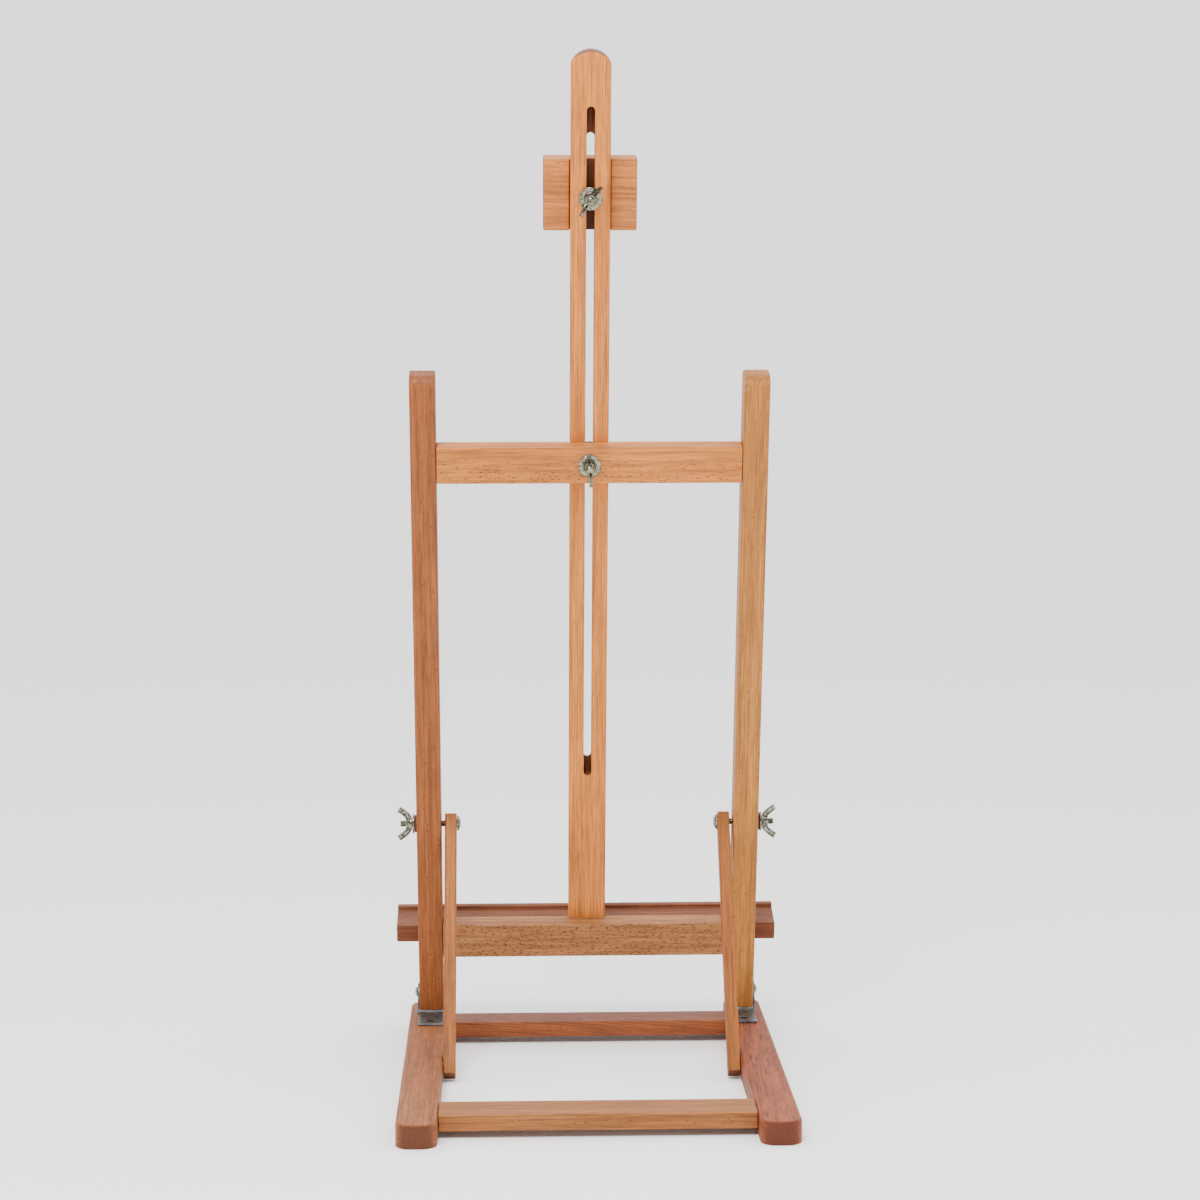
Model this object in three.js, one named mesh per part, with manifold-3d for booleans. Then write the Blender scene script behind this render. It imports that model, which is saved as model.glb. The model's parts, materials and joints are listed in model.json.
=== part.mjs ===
// Tabletop H-frame artist's easel in beech with zinc-plated fittings.
// Millimetres, +Z up. The canvas side faces -Y, left and right are those of the artist who faces it,
// and the origin is on the table under the middle of the base.
import * as THREE from 'three';
import { mergeVertices } from 'three/addons/utils/BufferGeometryUtils.js';
import Module from 'manifold-3d';

const wasm = await Module();
wasm.setup();

// ---- Driving dimensions ----

const GAP = 0.3; // space left between two faces that touch, and round a pin in its hole
const THROUGH = 1; // how far a cutter runs past the face that it opens
const LEAN = THREE.MathUtils.degToRad(15.5); // backward lean of the frame

// Base: two feet with rounded ends, joined by two rails that lie flush with their tops.
const BASE_WIDTH = 330;
const FOOT = { length: 432, width: 34, height: 20, cornerRadius: 13 };
const RAIL_THICKNESS = 14;
const FRONT_RAIL = { depth: 38, fromFront: 50 };
const REAR_RAIL = { depth: 42, fromFront: 360 };

// Hinge line of the frame, measured from the front end of the feet and from the table.
const PIVOT = { fromFront: 38.1, height: 38 };

// Frame parts are measured along the posts from the hinge line, and across them from the middle of
// the posts' side faces, with the back face at +POST.depth / 2.
const POST = { width: 22.4, depth: 31.2, below: 11.6, above: 604, endRadius: 10, centre: 145 };
const POST_SLOT = { width: 7.8, from: 131.5, to: 178.5 };
const CROSSBAR = { height: 33, thickness: 18, grooveDepth: 2.7 };
const UPPER_BAR_CENTRE = 524;
const LOWER_BAR_CENTRE = 60.6;
const TRAY = { width: 355, thickness: 17, depth: 39.5, bottom: 44.1, lipHeight: 3, lipDepth: 6.5 };

// Mast: a slot cut from the back stops on a thin ledge, and a shorter opening goes through the ledge.
const MAST = { width: 34, thickness: 15.9, bottom: 45.6, top: 881.4, tipRadius: 18.6 };
const MAST_SLOT = { width: 7, from: 221.3, to: 835.1, ledge: 3, openFrom: 234.6, openTo: 811 };
const GROOVE_WIDTH = 35.2;
const CLAMP = { width: 80, height: 62, thickness: 17.8, grooveDepth: 3, centre: 757 };

// Struts: lower pivot on the inner side of each foot, upper bolt in the slot of the post.
const STRUT = { thickness: 10.8, width: 15, below: 8, above: 7, inner: 119.7 };
const STRUT_PIVOT = { fromFront: 217.6, height: 11.5 };
const STRUT_BOLT_HEIGHT = 174.05;

// M6 fittings.
const BOLT_RADIUS = 3;
const BOLT_HEAD = { radius: 7.2, height: 3.6 };
const WASHER = { radius: 10, thickness: 1.4 };
const SIDE_WASHER = { radius: 9, thickness: 1.4 };
const FRONT_WASHER = { radius: 12, thickness: 1.5 };
const FIBRE_DISC = { radius: 8, thickness: 1.8 };
const WING_NUT = { seatRadius: 6.2, topRadius: 4.6, height: 5.8, wingSpan: 30, wingThickness: 2.2 };
const BOLT_STICKS_OUT = 5; // thread that shows past the hub of a wing nut
const MAST_NUT_TURN = THREE.MathUtils.degToRad(95); // turn of the wings from level
const CLAMP_NUT_TURN = THREE.MathUtils.degToRad(55);

// Steel hinge brackets, wood screws and dowels.
const BRACKET = { plate: 1.8, ear: 1.5, front: 24, back: 100, earTop: 46, earHalfWidth: 10 };
const RIVET_HEAD = { radius: 4.8, height: 2.4 };
const BRACKET_SCREW = { head: 4, headDepth: 2, shank: 1.9, length: 16 };
const BRACKET_SCREW_FROM_FRONT = [38, 87];
const STRUT_SCREW = { head: 4.4, headDepth: 2.6, shank: 2.3, length: 27 };
const TRAY_SCREW = { head: 4.4, headDepth: 2.6, shank: 2.2, length: 56 };
const DOWEL = { radius: 4, length: 28, chamfer: 1, spacing: 16 };
const DOWEL_HOLE_DEPTH = DOWEL.length / 2 + THROUGH;

// ---- Derived places ----

const FOOT_CENTRE = (BASE_WIDTH - FOOT.width) / 2;
const FOOT_INNER = FOOT_CENTRE - FOOT.width / 2;
const RAIL_LENGTH = 2 * (FOOT_INNER - GAP);
const RAIL_CENTRE_HEIGHT = FOOT.height - RAIL_THICKNESS / 2;
const POST_INNER = POST.centre - POST.width / 2;
const POST_OUTER = POST.centre + POST.width / 2;
const CROSSBAR_LENGTH = 2 * (POST_INNER - GAP);
const POST_BACK = POST.depth / 2;
const POST_FRONT = -POST_BACK;
const CROSSBAR_MIDDLE = POST_BACK - CROSSBAR.thickness / 2;
const CROSSBAR_FRONT = POST_BACK - CROSSBAR.thickness;
const MAST_BACK = CROSSBAR_FRONT + CROSSBAR.grooveDepth - GAP;
const MAST_FRONT = MAST_BACK - MAST.thickness;
const TRAY_BACK = POST_FRONT - GAP;
const CLAMP_GROOVE_FLOOR = MAST_FRONT - GAP;
const CLAMP_BACK = CLAMP_GROOVE_FLOOR + CLAMP.grooveDepth;
const CLAMP_FRONT = CLAMP_BACK - CLAMP.thickness;

// ---- Finishes ----

const beech = (color) => new THREE.MeshStandardMaterial({ color, roughness: 0.55, metalness: 0 });
const BEECH_LIGHT = beech('#d3a274');
const BEECH_WARM = beech('#c48a5c');
const BEECH_RED = beech('#a9683f');
const DOWEL_WOOD = beech('#d8b58c');
const ZINC = new THREE.MeshStandardMaterial({ color: '#b9bbb4', roughness: 0.3, metalness: 1 });
const DARK_STEEL = new THREE.MeshStandardMaterial({ color: '#4d4a45', roughness: 0.4, metalness: 1 });
const FIBRE = new THREE.MeshStandardMaterial({ color: '#5e2a16', roughness: 0.8, metalness: 0 });

// ---- Solids ----

function toSolid(geometry) {
  const bare = geometry.clone();
  bare.deleteAttribute('normal');
  bare.deleteAttribute('uv');
  const merged = mergeVertices(bare, 1e-4);
  const mesh = new wasm.Mesh({
    numProp: 3,
    vertProperties: new Float32Array(merged.attributes.position.array),
    triVerts: new Uint32Array(merged.index.array),
  });
  return new wasm.Manifold(mesh);
}

function toGeometry(solid) {
  const mesh = solid.getMesh();
  const geometry = new THREE.BufferGeometry();
  geometry.setAttribute('position', new THREE.BufferAttribute(mesh.vertProperties, 3));
  geometry.setIndex(new THREE.BufferAttribute(mesh.triVerts, 1));
  geometry.computeVertexNormals();
  return geometry;
}

function cut(body, cutters) {
  let solid = toSolid(body);
  for (const cutter of cutters) solid = solid.subtract(toSolid(cutter));
  return toGeometry(solid);
}

function join(pieces) {
  let solid = toSolid(pieces[0]);
  for (const piece of pieces.slice(1)) solid = solid.add(toSolid(piece));
  return toGeometry(solid);
}

function box(low, high) {
  const size = new THREE.Vector3().subVectors(high, low);
  const centre = new THREE.Vector3().addVectors(low, high).multiplyScalar(0.5);
  return new THREE.BoxGeometry(size.x, size.y, size.z).translate(centre.x, centre.y, centre.z);
}

const vec = (x, y, z) => new THREE.Vector3(x, y, z);
const AXES = { x: vec(1, 0, 0), y: vec(0, 1, 0), z: vec(0, 0, 1) };

// Turns a geometry that is built along +Z so that it points along +X, +Y or +Z.
function pointAlong(geometry, axis) {
  const turn = new THREE.Quaternion().setFromUnitVectors(AXES.z, AXES[axis]);
  return geometry.applyQuaternion(turn);
}

function cylinder(radius, from, to, axis, sides = 16) {
  const geometry = new THREE.CylinderGeometry(radius, radius, to - from, sides);
  geometry.rotateX(Math.PI / 2).translate(0, 0, (from + to) / 2);
  return pointAlong(geometry, axis);
}

// Body of revolution about +Z from [radius, height] points that start and end on the axis.
function turned(profile, sides = 20) {
  const points = profile.map(([radius, height]) => new THREE.Vector2(radius, height));
  return new THREE.LatheGeometry(points, sides).rotateX(Math.PI / 2);
}

function extrude(shape, depth, curveSegments = 6) {
  return new THREE.ExtrudeGeometry(shape, { depth, bevelEnabled: false, curveSegments });
}

// Extrusion of a shape drawn in Y and Z, from one X to another.
function extrudeAcross(shape, fromX, toX, curveSegments) {
  const basis = new THREE.Matrix4().makeBasis(AXES.y, AXES.z, AXES.x);
  return extrude(shape, toX - fromX, curveSegments).applyMatrix4(basis).translate(fromX, 0, 0);
}

// Extrusion of a shape drawn in X and Z, from its back Y forward to its front Y.
function extrudeForward(shape, backY, frontY, curveSegments) {
  const basis = new THREE.Matrix4().makeBasis(AXES.x, AXES.z, vec(0, -1, 0));
  return extrude(shape, backY - frontY, curveSegments).applyMatrix4(basis).translate(0, backY, 0);
}

// Upright slot with round ends, centred on x = 0 of its own plane.
function slotShape(width, from, to) {
  const radius = width / 2;
  const shape = new THREE.Shape();
  shape.moveTo(radius, from + radius);
  shape.lineTo(radius, to - radius);
  shape.absarc(0, to - radius, radius, 0, Math.PI, false);
  shape.lineTo(-radius, from + radius);
  shape.absarc(0, from + radius, radius, Math.PI, 2 * Math.PI, false);
  return shape;
}

function mesh(name, geometry, material) {
  const made = new THREE.Mesh(geometry, material);
  made.name = name;
  return made;
}

function placed(child, x, y, z) {
  child.position.set(x, y, z);
  return child;
}

// ---- Fittings ----

function screwProfile(screw, grow) {
  return [
    [0, -screw.length - grow],
    [screw.shank + grow, -screw.length + 2 * screw.shank],
    [screw.shank + grow, -screw.headDepth],
    [screw.head + grow, 0],
  ];
}

// Countersunk wood screw along -Z, with its flat head at z = 0.
function screwGeometry(screw) {
  return turned([...screwProfile(screw, 0), [0, 0]], 16);
}

// Hole for that screw, wider all round, whose mouth runs on past z = 0.
function screwHole(screw) {
  const mouth = screw.head + GAP;
  return turned([...screwProfile(screw, GAP), [mouth, THROUGH], [0, THROUGH]], 16);
}

// Dowel along an axis, centred on its own middle.
function dowelGeometry(axis) {
  const half = DOWEL.length / 2;
  const end = DOWEL.radius - DOWEL.chamfer;
  return pointAlong(turned([
    [0, -half],
    [end, -half],
    [DOWEL.radius, -half + DOWEL.chamfer],
    [DOWEL.radius, half - DOWEL.chamfer],
    [end, half],
    [0, half],
  ], 12), axis);
}

function dowelHole(axis, mouth, inward) {
  const from = inward > 0 ? -THROUGH : -DOWEL_HOLE_DEPTH;
  const to = inward > 0 ? DOWEL_HOLE_DEPTH : THROUGH;
  return cylinder(DOWEL.radius + GAP, from, to, axis, 12).translate(mouth.x, mouth.y, mouth.z);
}

// Carriage bolt along +Z: the domed head sits below z = 0, and the shank ends at the given length.
function carriageBolt(length) {
  const domeSteps = 5;
  const dome = [];
  for (let step = 0; step <= domeSteps; step += 1) {
    const angle = (step / domeSteps) * (Math.PI / 2);
    dome.push([BOLT_HEAD.radius * Math.sin(angle), -BOLT_HEAD.height * Math.cos(angle)]);
  }
  const chamfer = 0.6;
  return turned([
    ...dome,
    [BOLT_RADIUS, 0],
    [BOLT_RADIUS, length - chamfer],
    [BOLT_RADIUS - chamfer, length],
    [0, length],
  ]);
}

function washerGeometry(washer) {
  const disc = cylinder(washer.radius, 0, washer.thickness, 'z', 28);
  return cut(disc, [cylinder(BOLT_RADIUS + GAP, -THROUGH, washer.thickness + THROUGH, 'z', 16)]);
}

// Wing nut along +Z with its seat at z = 0 and its two wings swept up and outwards along X.
function wingNutGeometry() {
  const hub = turned([
    [0, 0],
    [WING_NUT.seatRadius, 0],
    [WING_NUT.seatRadius, 1.6],
    [WING_NUT.topRadius, WING_NUT.height],
    [0, WING_NUT.height],
  ]);
  const reach = WING_NUT.wingSpan / 2;
  const wing = new THREE.Shape();
  wing.moveTo(3.9, 1.2);
  wing.lineTo(6.4, 1.4);
  wing.quadraticCurveTo(8.6, 2.2, reach - 1.6, 8);
  wing.quadraticCurveTo(reach + 0.8, 10, reach - 1, 12);
  wing.quadraticCurveTo(reach - 2.6, 13.6, reach - 4.6, 12.2);
  wing.lineTo(7.2, 7.6);
  wing.quadraticCurveTo(5.6, 5.6, 3.9, 5.2);
  const half = WING_NUT.wingThickness / 2;
  const right = extrudeForward(wing, half, -half, 4);
  const left = right.clone().rotateZ(Math.PI);
  const bore = cylinder(BOLT_RADIUS + GAP, -THROUGH, WING_NUT.height + THROUGH, 'z');
  return cut(join([hub, right, left]), [bore]);
}

const wingNut = wingNutGeometry();

// ---- Base ----

function footGeometry(side) {
  const { length, width, height, cornerRadius } = FOOT;
  const x = width / 2;
  const y = length / 2;
  const outline = new THREE.Shape();
  outline.moveTo(x, y - cornerRadius);
  outline.absarc(x - cornerRadius, y - cornerRadius, cornerRadius, 0, Math.PI / 2, false);
  outline.absarc(-x + cornerRadius, y - cornerRadius, cornerRadius, Math.PI / 2, Math.PI, false);
  outline.absarc(-x + cornerRadius, -y + cornerRadius, cornerRadius, Math.PI, 1.5 * Math.PI, false);
  outline.absarc(x - cornerRadius, -y + cornerRadius, cornerRadius, 1.5 * Math.PI, 2 * Math.PI, false);
  const board = extrude(outline, height, 6);
  const inner = -side * x;
  const holes = [];
  for (const rail of [FRONT_RAIL, REAR_RAIL]) {
    for (const dowelY of dowelPlaces(rail)) {
      holes.push(dowelHole('x', vec(inner, dowelY, RAIL_CENTRE_HEIGHT), side));
    }
  }
  for (const fromFront of BRACKET_SCREW_FROM_FRONT) {
    const hole = screwHole(BRACKET_SCREW);
    const sideways = side * (POST.centre - FOOT_CENTRE);
    holes.push(hole.translate(sideways, fromFront - y, height + GAP + BRACKET.plate));
  }
  const strutHole = strutScrewPlace(screwHole(STRUT_SCREW), side);
  holes.push(strutHole.translate(-side * FOOT_CENTRE, STRUT_PIVOT.fromFront - y, STRUT_PIVOT.height));
  return cut(board, holes);
}

function dowelPlaces(rail) {
  const middle = rail.fromFront + rail.depth / 2 - FOOT.length / 2;
  return [middle - DOWEL.spacing / 2, middle + DOWEL.spacing / 2];
}

function railGeometry(rail) {
  const front = rail.fromFront - FOOT.length / 2;
  const end = RAIL_LENGTH / 2;
  const low = FOOT.height - RAIL_THICKNESS;
  const board = box(vec(-end, front, low), vec(end, front + rail.depth, FOOT.height));
  const holes = [];
  for (const side of [-1, 1]) {
    for (const dowelY of dowelPlaces(rail)) {
      holes.push(dowelHole('x', vec(side * end, dowelY, RAIL_CENTRE_HEIGHT), -side));
    }
  }
  return cut(board, holes);
}

// Turns a screw or its hole to run outwards through the strut into the foot, about the pivot.
function strutScrewPlace(geometry, side) {
  return geometry.rotateY(-side * Math.PI / 2).translate(side * STRUT.inner, 0, 0);
}

// U-shaped steel bracket: a plate on the foot and two ears that hold the foot of the post.
function bracketGeometry() {
  const { plate, ear, front, back, earTop, earHalfWidth } = BRACKET;
  const low = FOOT.height + GAP;
  const halfOpen = POST.width / 2 + GAP;
  const y = (fromFront) => fromFront - FOOT.length / 2;
  const pieces = [
    box(vec(-halfOpen - ear, y(front), low), vec(halfOpen + ear, y(PIVOT.fromFront + 16), low + plate)),
    box(vec(-POST.width / 2, y(front), low), vec(POST.width / 2, y(back), low + plate)),
  ];
  const outline = new THREE.Shape();
  const pivotY = y(PIVOT.fromFront);
  const shoulder = earTop - earHalfWidth;
  outline.moveTo(pivotY - earHalfWidth - 3, low);
  outline.lineTo(pivotY + earHalfWidth + 3, low);
  outline.lineTo(pivotY + earHalfWidth, shoulder);
  outline.absarc(pivotY, shoulder, earHalfWidth, 0, Math.PI, false);
  pieces.push(extrudeAcross(outline, halfOpen, halfOpen + ear));
  pieces.push(extrudeAcross(outline, -halfOpen - ear, -halfOpen));
  const reach = halfOpen + ear + THROUGH;
  const holes = [cylinder(BOLT_RADIUS + GAP, -reach, reach, 'x').translate(0, pivotY, PIVOT.height)];
  for (const fromFront of BRACKET_SCREW_FROM_FRONT) {
    holes.push(screwHole(BRACKET_SCREW).translate(0, y(fromFront), low + plate));
  }
  return cut(join(pieces), holes);
}

// Rivet through both ears and the post, with a low domed head outside each ear.
function rivetGeometry() {
  const seat = POST.width / 2 + BRACKET.ear + 2 * GAP;
  const { radius, height } = RIVET_HEAD;
  return pointAlong(turned([
    [0, -seat - height],
    [radius * 0.6, -seat - height * 0.8],
    [radius, -seat],
    [BOLT_RADIUS, -seat],
    [BOLT_RADIUS, seat],
    [radius, seat],
    [radius * 0.6, seat + height * 0.8],
    [0, seat + height],
  ]), 'x');
}

function makeBase() {
  const base = new THREE.Group();
  const footY = (fromFront) => fromFront - FOOT.length / 2;
  base.add(mesh('front_rail', railGeometry(FRONT_RAIL), BEECH_RED));
  base.add(mesh('rear_rail', railGeometry(REAR_RAIL), BEECH_WARM));
  for (const [name, side] of [['left', -1], ['right', 1]]) {
    base.add(placed(mesh(`${name}_foot`, footGeometry(side), BEECH_WARM), side * FOOT_CENTRE, 0, 0));
    base.add(placed(mesh(`${name}_bracket`, bracketGeometry(), ZINC), side * POST.centre, 0, 0));
    const rivet = mesh(`${name}_pivot_rivet`, rivetGeometry(), ZINC);
    base.add(placed(rivet, side * POST.centre, footY(PIVOT.fromFront), PIVOT.height));
    BRACKET_SCREW_FROM_FRONT.forEach((fromFront, index) => {
      const end = index === 0 ? 'front' : 'rear';
      const screw = mesh(`${name}_bracket_screw_${end}`, screwGeometry(BRACKET_SCREW), DARK_STEEL);
      const top = FOOT.height + GAP + BRACKET.plate;
      base.add(placed(screw, side * POST.centre, footY(fromFront), top));
    });
    const screw = strutScrewPlace(screwGeometry(STRUT_SCREW), side);
    const strutScrew = mesh(`${name}_strut_screw`, screw, DARK_STEEL);
    base.add(placed(strutScrew, 0, footY(STRUT_PIVOT.fromFront), STRUT_PIVOT.height));
    for (const [place, rail] of [['front', FRONT_RAIL], ['rear', REAR_RAIL]]) {
      dowelPlaces(rail).forEach((dowelY, index) => {
        const dowel = mesh(`${name}_${place}_rail_dowel_${index + 1}`, dowelGeometry('x'), DOWEL_WOOD);
        base.add(placed(dowel, side * (FOOT_INNER - GAP / 2), dowelY, RAIL_CENTRE_HEIGHT));
      });
    }
  }
  return base;
}

// ---- Leaning frame, in its own coordinates about the hinge line ----

function crossbarDowelHeights(centre) {
  return [centre - DOWEL.spacing / 2, centre + DOWEL.spacing / 2];
}

function postGeometry(side) {
  const radius = POST.endRadius;
  const outline = new THREE.Shape();
  outline.moveTo(POST_FRONT, -POST.below);
  outline.lineTo(POST_BACK, -POST.below);
  outline.lineTo(POST_BACK, POST.above - radius);
  outline.absarc(POST_BACK - radius, POST.above - radius, radius, 0, Math.PI / 2, false);
  outline.absarc(POST_FRONT + radius, POST.above - radius, radius, Math.PI / 2, Math.PI, false);
  const half = POST.width / 2;
  const post = extrudeAcross(outline, -half, half, 8);
  const reach = half + THROUGH;
  const holes = [
    cylinder(BOLT_RADIUS + GAP, -reach, reach, 'x'),
    extrudeAcross(slotShape(POST_SLOT.width, POST_SLOT.from, POST_SLOT.to), -reach, reach, 8),
  ];
  for (const centre of [UPPER_BAR_CENTRE, LOWER_BAR_CENTRE]) {
    for (const height of crossbarDowelHeights(centre)) {
      holes.push(dowelHole('x', vec(-side * half, CROSSBAR_MIDDLE, height), side));
    }
  }
  holes.push(trayScrewPlace(screwHole(TRAY_SCREW)));
  return cut(post, holes);
}

// Turns a screw or its hole to run back from the front edge of the tray into the post.
function trayScrewPlace(geometry) {
  const height = TRAY.bottom + TRAY.thickness / 2;
  return geometry.rotateX(Math.PI / 2).translate(0, TRAY_BACK - TRAY.depth, height);
}

function crossbarGeometry(centre) {
  const end = CROSSBAR_LENGTH / 2;
  const half = CROSSBAR.height / 2;
  const bar = box(vec(-end, CROSSBAR_FRONT, centre - half), vec(end, POST_BACK, centre + half));
  const grooveHalf = GROOVE_WIDTH / 2;
  const groove = box(
    vec(-grooveHalf, CROSSBAR_FRONT - THROUGH, centre - half - THROUGH),
    vec(grooveHalf, CROSSBAR_FRONT + CROSSBAR.grooveDepth, centre + half + THROUGH),
  );
  const holes = [groove];
  for (const side of [-1, 1]) {
    for (const height of crossbarDowelHeights(centre)) {
      holes.push(dowelHole('x', vec(side * end, CROSSBAR_MIDDLE, height), -side));
    }
  }
  if (centre === UPPER_BAR_CENTRE) {
    const bore = cylinder(BOLT_RADIUS + GAP, CROSSBAR_FRONT - THROUGH, POST_BACK + THROUGH, 'y');
    holes.push(bore.translate(0, 0, centre));
  }
  return cut(bar, holes);
}

function trayGeometry() {
  const top = TRAY.bottom + TRAY.thickness;
  const front = TRAY_BACK - TRAY.depth;
  const profile = new THREE.Shape();
  profile.moveTo(TRAY_BACK, TRAY.bottom);
  profile.lineTo(TRAY_BACK, top);
  profile.lineTo(front + TRAY.lipDepth, top);
  profile.lineTo(front + TRAY.lipDepth, top + TRAY.lipHeight);
  profile.lineTo(front, top + TRAY.lipHeight);
  profile.lineTo(front, TRAY.bottom);
  const board = extrudeAcross(profile, -TRAY.width / 2, TRAY.width / 2);
  const holes = [-1, 1].map((side) => {
    const hole = trayScrewPlace(screwHole(TRAY_SCREW));
    return hole.translate(side * POST.centre, 0, 0);
  });
  return cut(board, holes);
}

// Bolt that clamps the mast to the upper crossbar, with its head and wide washer on the mast's front.
const MAST_BOLT_SEAT = MAST_FRONT - 2 * GAP - FRONT_WASHER.thickness;
const MAST_NUT_SEAT = POST_BACK + 2 * GAP + WASHER.thickness;
const MAST_BOLT_LENGTH = MAST_NUT_SEAT + GAP + WING_NUT.height + BOLT_STICKS_OUT - MAST_BOLT_SEAT;

function makeMastBolt() {
  const set = new THREE.Group();
  const bolt = pointAlong(carriageBolt(MAST_BOLT_LENGTH), 'y').translate(0, MAST_BOLT_SEAT - GAP, 0);
  set.add(mesh('mast_bolt', bolt, ZINC));
  const frontWasher = pointAlong(washerGeometry(FRONT_WASHER), 'y');
  set.add(placed(mesh('mast_front_washer', frontWasher, ZINC), 0, MAST_BOLT_SEAT, 0));
  const backWasher = pointAlong(washerGeometry(WASHER), 'y');
  set.add(placed(mesh('mast_rear_washer', backWasher, ZINC), 0, POST_BACK + GAP, 0));
  const nut = mesh('mast_wing_nut', wingNut, ZINC);
  nut.rotation.set(-Math.PI / 2, 0, MAST_NUT_TURN);
  set.add(placed(nut, 0, MAST_NUT_SEAT + GAP, 0));
  return placed(set, 0, 0, UPPER_BAR_CENTRE);
}

// ---- Mast and canvas clamp ----

function mastGeometry() {
  const half = MAST.width / 2;
  const tip = MAST.tipRadius;
  const spread = Math.asin(half / tip);
  const outline = new THREE.Shape();
  outline.moveTo(-half, MAST.bottom);
  outline.lineTo(half, MAST.bottom);
  outline.absarc(0, MAST.top - tip, tip, Math.PI / 2 - spread, Math.PI / 2 + spread, false);
  const board = extrudeForward(outline, MAST_BACK, MAST_FRONT, 14);
  const { width, from, to, ledge, openFrom, openTo } = MAST_SLOT;
  const slot = extrudeForward(slotShape(width, from, to), MAST_BACK + THROUGH, MAST_FRONT + ledge, 8);
  const opening = slotShape(width, openFrom, openTo);
  const through = extrudeForward(opening, MAST_BACK + THROUGH, MAST_FRONT - THROUGH, 8);
  return cut(board, [slot, through]);
}

function clampBlockGeometry() {
  const half = CLAMP.width / 2;
  const low = CLAMP.centre - CLAMP.height / 2;
  const high = CLAMP.centre + CLAMP.height / 2;
  const block = box(vec(-half, CLAMP_FRONT, low), vec(half, CLAMP_BACK, high));
  const grooveHalf = GROOVE_WIDTH / 2;
  const groove = box(
    vec(-grooveHalf, CLAMP_GROOVE_FLOOR, low - THROUGH),
    vec(grooveHalf, CLAMP_BACK + THROUGH, high + THROUGH),
  );
  const bore = cylinder(BOLT_RADIUS + GAP, CLAMP_FRONT - THROUGH, CLAMP_BACK + THROUGH, 'y');
  return cut(block, [groove, bore.translate(0, 0, CLAMP.centre)]);
}

const CLAMP_NUT_SEAT = MAST_BACK + 2 * GAP + WASHER.thickness;
const CLAMP_BOLT_LENGTH = CLAMP_NUT_SEAT + GAP + WING_NUT.height + BOLT_STICKS_OUT - CLAMP_FRONT;

function makeClamp() {
  const clamp = new THREE.Group();
  clamp.add(mesh('clamp_block', clampBlockGeometry(), BEECH_WARM));
  const bolt = pointAlong(carriageBolt(CLAMP_BOLT_LENGTH), 'y').translate(0, CLAMP_FRONT - GAP, 0);
  clamp.add(placed(mesh('clamp_bolt', bolt, ZINC), 0, 0, CLAMP.centre));
  const washer = pointAlong(washerGeometry(WASHER), 'y');
  clamp.add(placed(mesh('clamp_washer', washer, ZINC), 0, MAST_BACK + GAP, CLAMP.centre));
  const nut = mesh('clamp_wing_nut', wingNut, ZINC);
  nut.rotation.set(-Math.PI / 2, 0, CLAMP_NUT_TURN);
  clamp.add(placed(nut, 0, CLAMP_NUT_SEAT + GAP, CLAMP.centre));
  return clamp;
}

function makeFrame() {
  const frame = new THREE.Group();
  for (const [name, side] of [['left', -1], ['right', 1]]) {
    const wood = side < 0 ? BEECH_LIGHT : BEECH_RED;
    frame.add(placed(mesh(`${name}_post`, postGeometry(side), wood), side * POST.centre, 0, 0));
    const screw = mesh(`${name}_tray_screw`, trayScrewPlace(screwGeometry(TRAY_SCREW)), DARK_STEEL);
    frame.add(placed(screw, side * POST.centre, 0, 0));
    for (const [place, centre] of [['upper', UPPER_BAR_CENTRE], ['lower', LOWER_BAR_CENTRE]]) {
      crossbarDowelHeights(centre).forEach((height, index) => {
        const dowel = mesh(`${name}_${place}_bar_dowel_${index + 1}`, dowelGeometry('x'), DOWEL_WOOD);
        frame.add(placed(dowel, side * (POST_INNER - GAP / 2), CROSSBAR_MIDDLE, height));
      });
    }
  }
  frame.add(mesh('upper_crossbar', crossbarGeometry(UPPER_BAR_CENTRE), BEECH_LIGHT));
  frame.add(mesh('lower_crossbar', crossbarGeometry(LOWER_BAR_CENTRE), BEECH_WARM));
  frame.add(mesh('tray', trayGeometry(), BEECH_WARM));
  frame.add(mesh('mast', mastGeometry(), BEECH_LIGHT));
  frame.add(makeMastBolt(), makeClamp());
  frame.rotation.x = -LEAN;
  return placed(frame, 0, PIVOT.fromFront - FOOT.length / 2, PIVOT.height);
}

// ---- Struts, in their own coordinates about the lower pivot ----

const UPPER_BOLT_OFFSET = {
  y: PIVOT.fromFront + STRUT_BOLT_HEIGHT * Math.sin(LEAN) - STRUT_PIVOT.fromFront,
  z: PIVOT.height + STRUT_BOLT_HEIGHT * Math.cos(LEAN) - STRUT_PIVOT.height,
};
const STRUT_REACH = Math.hypot(UPPER_BOLT_OFFSET.y, UPPER_BOLT_OFFSET.z);
const STRUT_ANGLE = Math.atan2(-UPPER_BOLT_OFFSET.y, UPPER_BOLT_OFFSET.z);
const SIDE_WASHER_SEAT = POST_OUTER + 2 * GAP + FIBRE_DISC.thickness;
const SIDE_NUT_SEAT = SIDE_WASHER_SEAT + GAP + SIDE_WASHER.thickness;
const SIDE_BOLT_SEAT = STRUT.inner - GAP;
const SIDE_BOLT_LENGTH = SIDE_NUT_SEAT + GAP + WING_NUT.height + BOLT_STICKS_OUT - SIDE_BOLT_SEAT;

function strutGeometry(side) {
  const outer = STRUT.inner + STRUT.thickness;
  const half = STRUT.width / 2;
  const bar = box(vec(STRUT.inner, -half, -STRUT.below), vec(outer, half, STRUT_REACH + STRUT.above));
  const bore = cylinder(BOLT_RADIUS + GAP, STRUT.inner - THROUGH, outer + THROUGH, 'x');
  const strut = cut(bar, [bore.translate(0, 0, STRUT_REACH), strutScrewPlace(screwHole(STRUT_SCREW), 1)]);
  return side > 0 ? strut : strut.rotateZ(Math.PI);
}

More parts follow.
